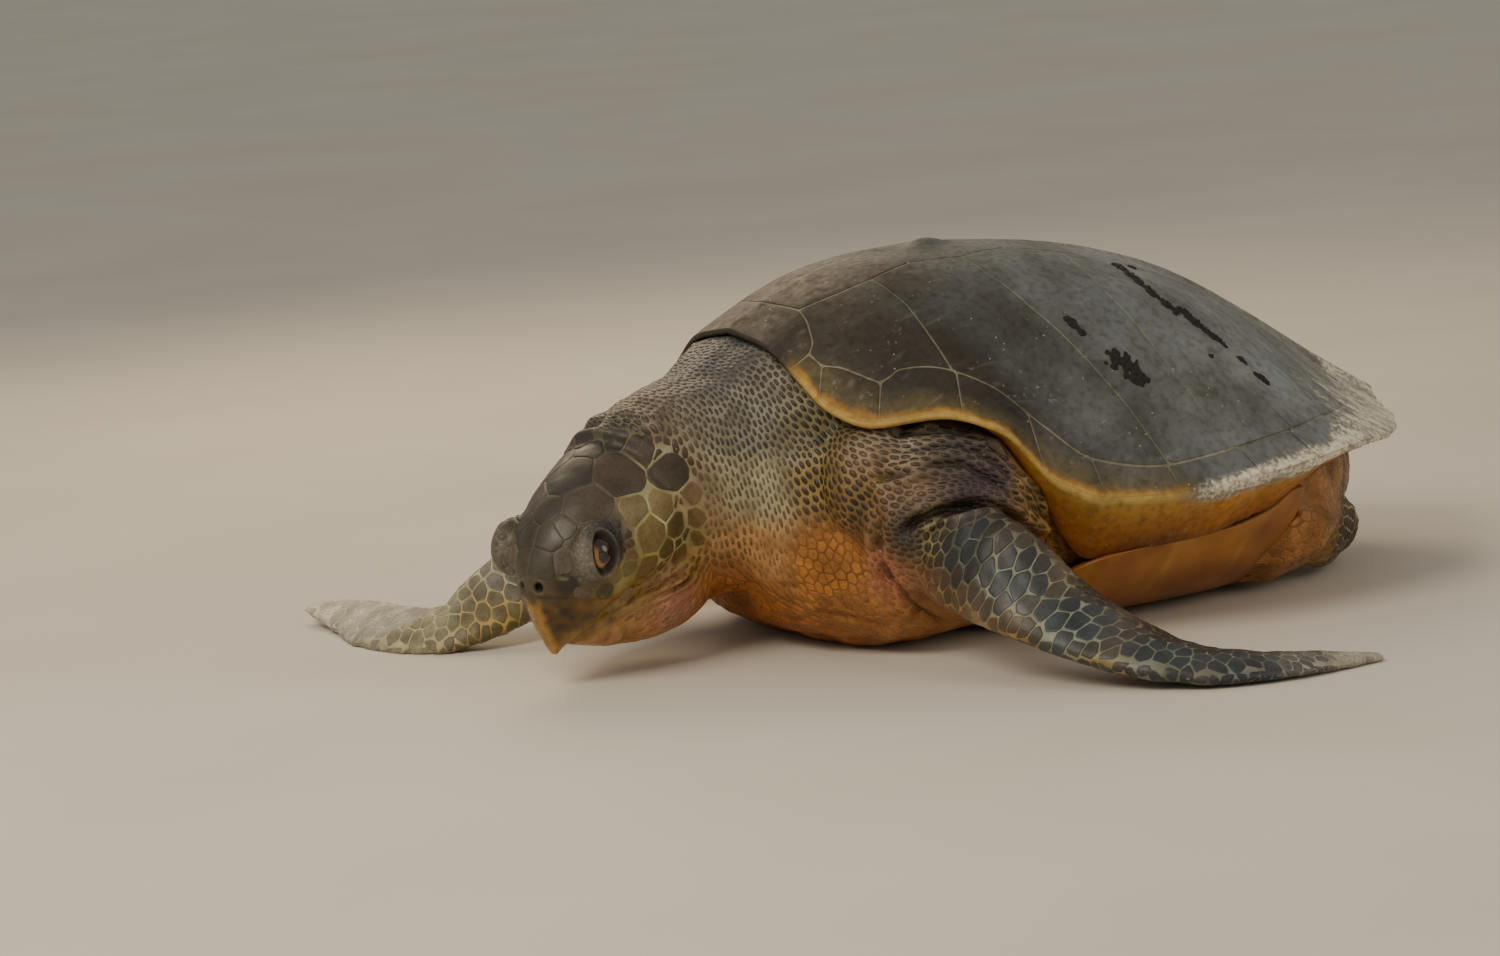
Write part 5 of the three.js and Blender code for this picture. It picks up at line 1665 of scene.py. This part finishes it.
def grow_scales(roots, chosen, surface, chart, angles, rings, near_count):
    """Places, triangles, colours and chart places of one size of scale.

    rings lists, from the buried skirt inwards, each ring's share of the outline
    and its height as a share of the scale's rise."""
    turn = np.linspace(0, 2 * math.pi, angles, endpoint=False)
    reach = cells(roots, chosen, near_count, turn)
    if angles < 10:
        reach = (np.roll(reach, 1, 1) + 2 * reach + np.roll(reach, -1, 1)) / 4
    stretch = roots["stretch"][chosen][:, None]
    length = np.hypot(np.cos(turn) * stretch, np.sin(turn))
    gap = roots["coat"]["gap"][chosen][:, None]
    reach = np.maximum(reach - gap / 2 / length, 0.35 * reach)
    out = (reach * np.cos(turn) * stretch)[..., None] * roots["along"][chosen][:, None]
    out = out + (reach * np.sin(turn))[..., None] * roots["across"][chosen][:, None]
    place, normal = roots["place"][chosen], roots["normal"][chosen]
    count = len(chosen)
    rise = roots["coat"]["rise"][chosen] * rng.uniform(0.8, 1.2, count)
    rise = np.where(roots["plate"][chosen] > 0, HEAD_PLATE_RISE, rise)
    if angles > 30:
        spot = surface.set_down((place[:, None] + out).reshape(-1, 3))[0].reshape(count, angles, 3)
        got = np.linalg.norm(spot - place[:, None], axis=2)
        out = out * np.clip(np.linalg.norm(out, axis=2) / np.maximum(got, 0.1), 1, 1.25)[..., None]
    edge_spot, edge_normal = surface.set_down((place[:, None] + out).reshape(-1, 3))
    edge_spot = edge_spot.reshape(count, angles, 3)
    edge_normal = edge_normal.reshape(count, angles, 3)
    shade = rng.uniform(0.84, 1.14, count)[:, None, None]
    body_colour = roots["coat"]["scale"][chosen][:, None] * shade
    edge_colour = roots["coat"]["edge"][chosen][:, None] * (0.5 + 0.5 * shade)
    places, colours, charts = [], [], []
    for share, height in rings:
        if share == 1:
            spot, up = edge_spot, edge_normal
        elif share < 0.9 and angles > 10:
            inner = (place[:, None] * (1 - share) + edge_spot * share).reshape(-1, 3)
            spot, up = (v.reshape(count, angles, 3) for v in surface.set_down(inner))
        else:
            spot = place[:, None] * (1 - share) + edge_spot * share
            up = unit(normal[:, None] * (1 - share) + edge_normal * share)
        lift = rise * height if height > 0 else np.full(count, height)
        places.append(spot + up * lift[:, None, None])
        blend = smooth_step(0.9, 0.99, share)
        colours.append(np.broadcast_to(body_colour * (1 - blend) + edge_colour * blend,
                                       (count, angles, 3)))
        ring = np.stack((np.cos(turn), np.sin(turn)), -1) * CHART_PATCH * share
        charts.append(chart[chosen][:, None] + ring)
    places.append((place + normal * rise[:, None])[:, None])
    colours.append(body_colour)
    charts.append(chart[chosen][:, None])
    places, colours, charts = (np.concatenate(v, 1) for v in (places, colours, charts))
    one = []
    for i in range(len(rings) - 1):
        for j in range(angles):
            k = (j + 1) % angles
            a, b = i * angles, (i + 1) * angles
            one += [(a + j, a + k, b + k), (a + j, b + k, b + j)]
    top, middle = (len(rings) - 1) * angles, len(rings) * angles
    one += [(top + j, top + (j + 1) % angles, middle) for j in range(angles)]
    start = np.arange(count)[:, None, None] * (middle + 1)
    tris = (np.array(one)[None] + start).reshape(-1, 3)
    return places.reshape(-1, 3), tris, colours.reshape(-1, 3), charts.reshape(-1, 2)


def scale_piece(name, parts):
    """One joined mesh from several batches of scales."""
    places, tris, colours, charts, start = [], [], [], [], 0
    for p, t, c, uv in parts:
        places.append(p)
        tris.append(t + start)
        colours.append(c)
        charts.append(uv)
        start += len(p)
    places, tris, colours, charts = (np.concatenate(v) for v in (places, tris, colours, charts))
    places[:, 2] = np.maximum(places[:, 2], 0.12)
    mesh = bpy.data.meshes.new(name)
    mesh.vertices.add(len(places))
    mesh.loops.add(len(tris) * 3)
    mesh.polygons.add(len(tris))
    mesh.loops.foreach_set("vertex_index", tris.ravel())
    mesh.polygons.foreach_set("loop_start", np.arange(len(tris)) * 3)
    mesh.update(calc_edges=True)
    set_places(mesh, world(places))
    layer = mesh.uv_layers.new(name="OFBake")
    layer.data.foreach_set("uv", charts[tris.ravel()].astype(np.float32).ravel())
    piece = new_object(name, mesh)
    paint(piece, "pigment_and_shade", colours)
    return piece


SCALE_KINDS = (
    # widest scale of the kind, angles, rings, neighbours looked at
    (7.4, 8, ((1, -0.35), (0.86, 0.75)), SCALE_NEIGHBOURS),
    (99, 20, ((1, -0.4), (0.965, 0.5), (0.88, 0.95), (0.78, 1.0), (0.42, 1.0)), 24),
)
PLATE_KIND = (40, ((1, -0.5), (0.98, 0.45), (0.945, 0.9), (0.91, 1.0), (0.8, 1.0),
                   (0.55, 1.0), (0.28, 1.0)), 90)
REGIONS = ("head_scales", "neck_scales", "shoulder_scales", "left_arm_scales", "right_arm_scales",
           "rear_scales")


def build_scales(skin, cover, horn):
    """Every scale of the hide, in one piece for each region of the body."""
    surface = Surface(skin)
    roots = settle_roots(surface, cover, horn)
    gone = bare(roots["place"], roots["normal"], cover, horn)
    gone[roots["plate"] > 0] = roots["plate"][roots["plate"] > 0] == NOSTRIL_ROOM
    chart = chart_places(unwrapped(skin), roots["place"])
    region = region_of(roots["place"])
    made = []
    for name in REGIONS:
        here = (region == name) & ~gone
        parts = []
        narrow = 0.0
        for widest, angles, rings, near_count in SCALE_KINDS:
            width = roots["coat"]["width"]
            chosen = np.flatnonzero(here & (roots["plate"] == 0) & (width > narrow) & (width <= widest))
            narrow = widest
            if len(chosen):
                parts.append(grow_scales(roots, chosen, surface, chart, angles, rings, near_count))
        chosen = np.flatnonzero(here & (roots["plate"] > 0))
        if len(chosen):
            angles, rings, near_count = PLATE_KIND
            parts.append(grow_scales(roots, chosen, surface, chart, angles, rings, near_count))
        made.append(scale_piece(name, parts))
    return made


def region_of(p):
    """The region each place belongs to."""
    h = head_frame(p)
    region = np.full(len(p), "neck_scales", dtype="<U20")
    region[p[:, 1] > 20] = "rear_scales"
    shoulder = (np.abs(p[:, 0]) > 118) & (p[:, 1] <= 20) & (p[:, 1] > -330)
    region[shoulder] = "shoulder_scales"
    region[(p[:, 0] > 245) & (p[:, 1] < 40)] = "left_arm_scales"
    region[(p[:, 0] < -150) & (p[:, 1] < -310)] = "right_arm_scales"
    region[(h[:, 1] > -100) & (np.abs(h[:, 0]) < 90)] = "head_scales"
    return region


# ------------------------------------------------------------------ beak and eyes
def horn_pigment(h, p, lower=False):
    """The horn's colours: dark olive at its root, clouded sides, a pale ridge and tip."""
    left = np.abs(h[:, 0])
    wander = waves(p, 16, 53)
    colour = mixed(srgb("#66491a"), srgb("#43300e"), 0.5 + 0.5 * wander)
    front = smooth_step(11, 4, left + 1.5 * wander) * smooth_step(-6, -18, h[:, 2])
    colour = mixed(colour, srgb("#ac8434"), front * 0.85)
    colour = mixed(colour, srgb("#bb9240"), smooth_step(-52, -74, h[:, 2] - 0.2 * left) * 0.75)
    colour = mixed(colour, srgb("#96742a"), smooth_step(26, 44, left + 2 * wander) * 0.6)
    colour = mixed(colour, srgb("#433d2b"), smooth_step(-24, -14, h[:, 2] + 2 * wander) * 0.85)
    if lower:
        chin = smooth_step(-68, -76, h[:, 2] + 0.1 * h[:, 1])
        colour = mixed(colour, srgb("#8c7034"), np.full(len(p), 0.6))
        colour = mixed(colour, srgb("#b48759"), chin * 0.9)
    return colour


HORN_GROW = 0.3                     # how far the horn stands out of its solid
HORN_VOXEL = 0.0011                 # metres


def build_beak(name, node):
    """The horn sheath of one jaw: smooth, hooked, with fine growth lines."""
    piece = remeshed(name, (node,), HORN_VOXEL)
    co, _, edges = mesh_arrays(piece.data)
    co = relax(co, edges, 26)
    set_places(piece.data, co)
    co, normal, _ = mesh_arrays(piece.data)
    p = body(co)
    h = head_frame(p)
    lines = 0.12 * np.sin(2 * math.pi * (h[:, 2] + 0.25 * h[:, 1]) / 4.3 + 0.6 * waves(p, 30, 51))
    p = p + normal * (HORN_GROW + lines + 0.15 * waves(p, 9, 52))[:, None]
    set_places(piece.data, world(p))
    paint(piece, "pigment_and_shade", horn_pigment(head_frame(p), p, node == "beak_lower"))
    return piece


PUPIL_R, IRIS_R = 5.0, 9.0
EYE_BULGE = 0.9                     # of the clear front over the ball


def build_eye(name, side):
    """An eyeball looking out of its slit: dark pupil, amber-brown iris, wet cornea."""
    bm = bmesh.new()
    bmesh.ops.create_uvsphere(bm, u_segments=64, v_segments=48, radius=1.0)
    directions = np.array([v.co[:] for v in bm.verts])
    mesh = bpy.data.meshes.new(name)
    bm.to_mesh(mesh)
    bm.free()
    out = unit(LEFT * side + AHEAD * 0.16 + OVER * 0.02)
    across = unit(np.cross(OVER, out))
    upward = np.cross(out, across)
    d = directions[:, 2:3] * out + directions[:, 0:1] * across + directions[:, 1:2] * upward
    from_axis = np.hypot(directions[:, 0], directions[:, 1]) * EYE_R
    ahead_side = directions[:, 2] > 0
    cornea = EYE_BULGE * np.exp(-(from_axis / 7.5) ** 2) * ahead_side
    p = in_head(EYE_OUT * side, 0, 0) + d * (EYE_R - 0.1 + cornea)[:, None]
    set_places(mesh, world(p))
    piece = new_object(name, mesh)
    turn = np.arctan2(directions[:, 1], directions[:, 0])
    spokes = 0.5 + 0.5 * np.sin(turn * 23 + 2 * np.sin(turn * 7))
    iris = mixed(srgb("#3a2210"), srgb("#1f130b"), spokes)
    colour = mixed(iris, srgb("#0b0908"), smooth_step(PUPIL_R + 0.5, PUPIL_R - 0.3, from_axis))
    front = smooth_step(0.3, 0.6, d @ AHEAD)
    lining = mixed(srgb("#2a1c14"), srgb("#a8763a"), front)
    edge = np.maximum(smooth_step(IRIS_R - 0.5, IRIS_R + 0.4, from_axis), ~ahead_side * 1.0)
    colour = mixed(colour, np.zeros(3), edge) + lining * edge[:, None]
    paint(piece, "pigment_and_shade", colour)
    return piece


def wet_eye():
    """Eyeball under a clear wet film: the sharp highlight that makes it look alive."""
    made, tree, shader = material("wet_eye")
    wire(tree, shader, Base_Color=pigment_and_shade(tree), Roughness=0.12, IOR=1.38,
         Coat_Weight=1.0, Coat_Roughness=0.02)
    return made


def beak_horn():
    """Beak horn: waxy, slightly translucent, with fine growth lines."""
    made, tree, shader = material("translucent_beak_horn")
    broad = noise(tree, 12, 4).outputs[0]
    grain = noise(tree, 2.2, 4).outputs[0]
    colour = tint(tree, "MULTIPLY", ramp(tree, broad, 0.35, 0.7), pigment_and_shade(tree), rgba("#b8a888"))
    wire(tree, shader, Base_Color=colour, Roughness=0.28, IOR=1.54,
         Normal=bump(tree, grain, 0.25, 0.0003),
         Subsurface_Weight=0.25, Subsurface_Radius=(0.006, 0.003, 0.001))
    return made


def scale_keratin():
    """Skin scales: thin satin keratin, damp, each with a faint mottle."""
    made, tree, shader = material("satin_scale_keratin")
    broad = noise(tree, 26, 4).outputs[0]
    grain = noise(tree, 2.4, 4).outputs[0]
    colour = tint(tree, "MULTIPLY", ramp(tree, broad, 0.4, 0.7), pigment_and_shade(tree), rgba("#bdb8ac"))
    colour = tint(tree, "MULTIPLY", ramp(tree, grain, 0.45, 0.75), colour, rgba("#cfccc2"))
    rough = ramp(tree, broad, 0.3, 0.7, 0.38, 0.56)
    wire(tree, shader, Base_Color=colour, Roughness=rough, IOR=1.5,
         Normal=bump(tree, grain, 0.3, 0.0003),
         Subsurface_Weight=0.04, Subsurface_Radius=(0.003, 0.0015, 0.001))
    return made


# ------------------------------------------------------------------ barnacle scars
# where barnacles sat on the shell's left, as seen from above: a route and a half width
SCARS = (
    (((82, 34), (96, 31), (111, 28), (124, 25), (137, 24), (150, 27), (164, 34)), 5.5),
    (((164, 45), (175, 51), (185, 61)), 6.5),
    (((190, 65), (192, 67)), 3.0), (((202, 75), (205, 78)), 2.6), (((214, 84), (218, 88)), 4.0),
    (((205, -58), (212, -50), (219, -44)), 9.0),
    (((170, -81), (176, -78), (182, -75)), 4.2),
    (((60, 62), (63, 65)), 2.4), (((206, 40), (208, 42)), 2.2),
)
SCAR_CELL = 0.9                     # between places of a crust
CRUST_DEPTH = 0.0006                # metres


def build_scars():
    """Rough dark crusts left by barnacles, each a low closed crumb of the shell."""
    places, faces, colours = [], [], []
    for index, (route, half) in enumerate(SCARS):
        line = np.array([(x, y, 0.0) for x, y in route])
        low, high = line[:, :2].min(0) - half * 1.7, line[:, :2].max(0) + half * 1.7
        nx, ny = (int(v) for v in np.ceil((high - low) / SCAR_CELL))
        gx, gy = np.meshgrid(low[0] + np.arange(nx) * SCAR_CELL, low[1] + np.arange(ny) * SCAR_CELL)
        plan = np.column_stack((gx.ravel(), gy.ravel()))
        flat = np.column_stack((plan, np.zeros(len(plan))))
        near = along_line(flat, line)[0]
        ragged = half * (0.78 + 0.34 * waves(flat, 11, 61 + index) + 0.2 * waves(flat, 4.5, 81 + index))
        inside = smooth_step(1.15, 0.8, near / ragged)
        here, normal = shell_top(plan)
        crumb = 1.0 + 0.75 * waves(flat, 5.5, 91 + index) + 0.5 * waves(flat, 2.4, 95 + index)
        lift = np.where(inside > 0, -0.6 + inside * (1.5 + crumb), -0.6)
        grid = here + normal * lift[:, None]
        keep = inside > 0
        start = len(places)
        places.extend(grid)
        tone = 0.7 + 0.5 * np.clip(crumb - 0.5, 0, 1.4)
        colours.extend(srgb("#1f1913") * tone[:, None])
        for iy in range(ny - 1):
            for ix in range(nx - 1):
                a = iy * nx + ix
                corner = (a, a + 1, a + nx + 1, a + nx)
                if any(keep[c] for c in corner):
                    faces.append(tuple(start + c for c in corner))
    piece = mesh_from("barnacle_scars", world(np.array(places)), faces)
    paint(piece, "pigment_and_shade", np.array(colours))
    face_outwards(piece, CRUST_DEPTH)
    return piece


def crust():
    """Barnacle crust: dark, matte and crumbly."""
    made, tree, shader = material("barnacle_crust")
    grain = noise(tree, 2.0, 5).outputs[0]
    wire(tree, shader, Base_Color=pigment_and_shade(tree), Roughness=0.85, IOR=1.5,
         Normal=bump(tree, grain, 0.8, 0.0008))
    return made


def hide_skin():
    """Bare hide: fine pebbled wrinkles, a little light passing through it."""
    made, tree, shader = material("pebbled_hide")
    broad = noise(tree, 18, 4).outputs[0]
    colour = tint(tree, "MULTIPLY", ramp(tree, broad, 0.35, 0.75), pigment_and_shade(tree), rgba("#b9b0a4"))
    pebbles = add(tree, "ShaderNodeTexVoronoi", {"Vector": object_places(tree), "Scale": per_metre(1.6)})
    first = bump(tree, pebbles.outputs["Distance"], 0.5, 0.0003)
    wire(tree, shader, Base_Color=colour, Roughness=0.5, IOR=1.45,
         Normal=bump(tree, broad, 0.3, 0.0006, first),
         Subsurface_Weight=0.1, Subsurface_Radius=(0.005, 0.002, 0.001))
    return made


# ------------------------------------------------------------------ making it
def build_turtle():
    shell_finish = shell_keratin()
    base = build_shell_base()
    finish_piece(base, shell_finish, ("carapace",))
    for plates in build_plates():
        finish_piece(plates, shell_finish)
    finish_piece(build_scars(), crust())
    belly = build_belly()
    finish_piece(belly, belly_keratin(), ("plastron",))

    horn_finish = beak_horn()
    beaks = []
    for name, node in (("horn_upper", "beak_upper"), ("horn_lower", "beak_lower")):
        beaks.append(build_beak(name, node))
        finish_piece(beaks[-1], horn_finish, (node,))
    eye_finish = wet_eye()
    for name, side in (("left", 1), ("right", -1)):
        finish_piece(build_eye(f"eyeball_{name}", side), eye_finish, (f"eye_{name}",))

    horn, cover = tree_of(*beaks), tree_of(base, belly)
    skin = build_skin(horn, cover)
    finish_piece(skin, hide_skin(), FLESH)
    scale_finish = scale_keratin()
    for scales in build_scales(skin, cover, horn):
        finish_piece(scales, scale_finish)


build_camera()
build_studio()
build_turtle()
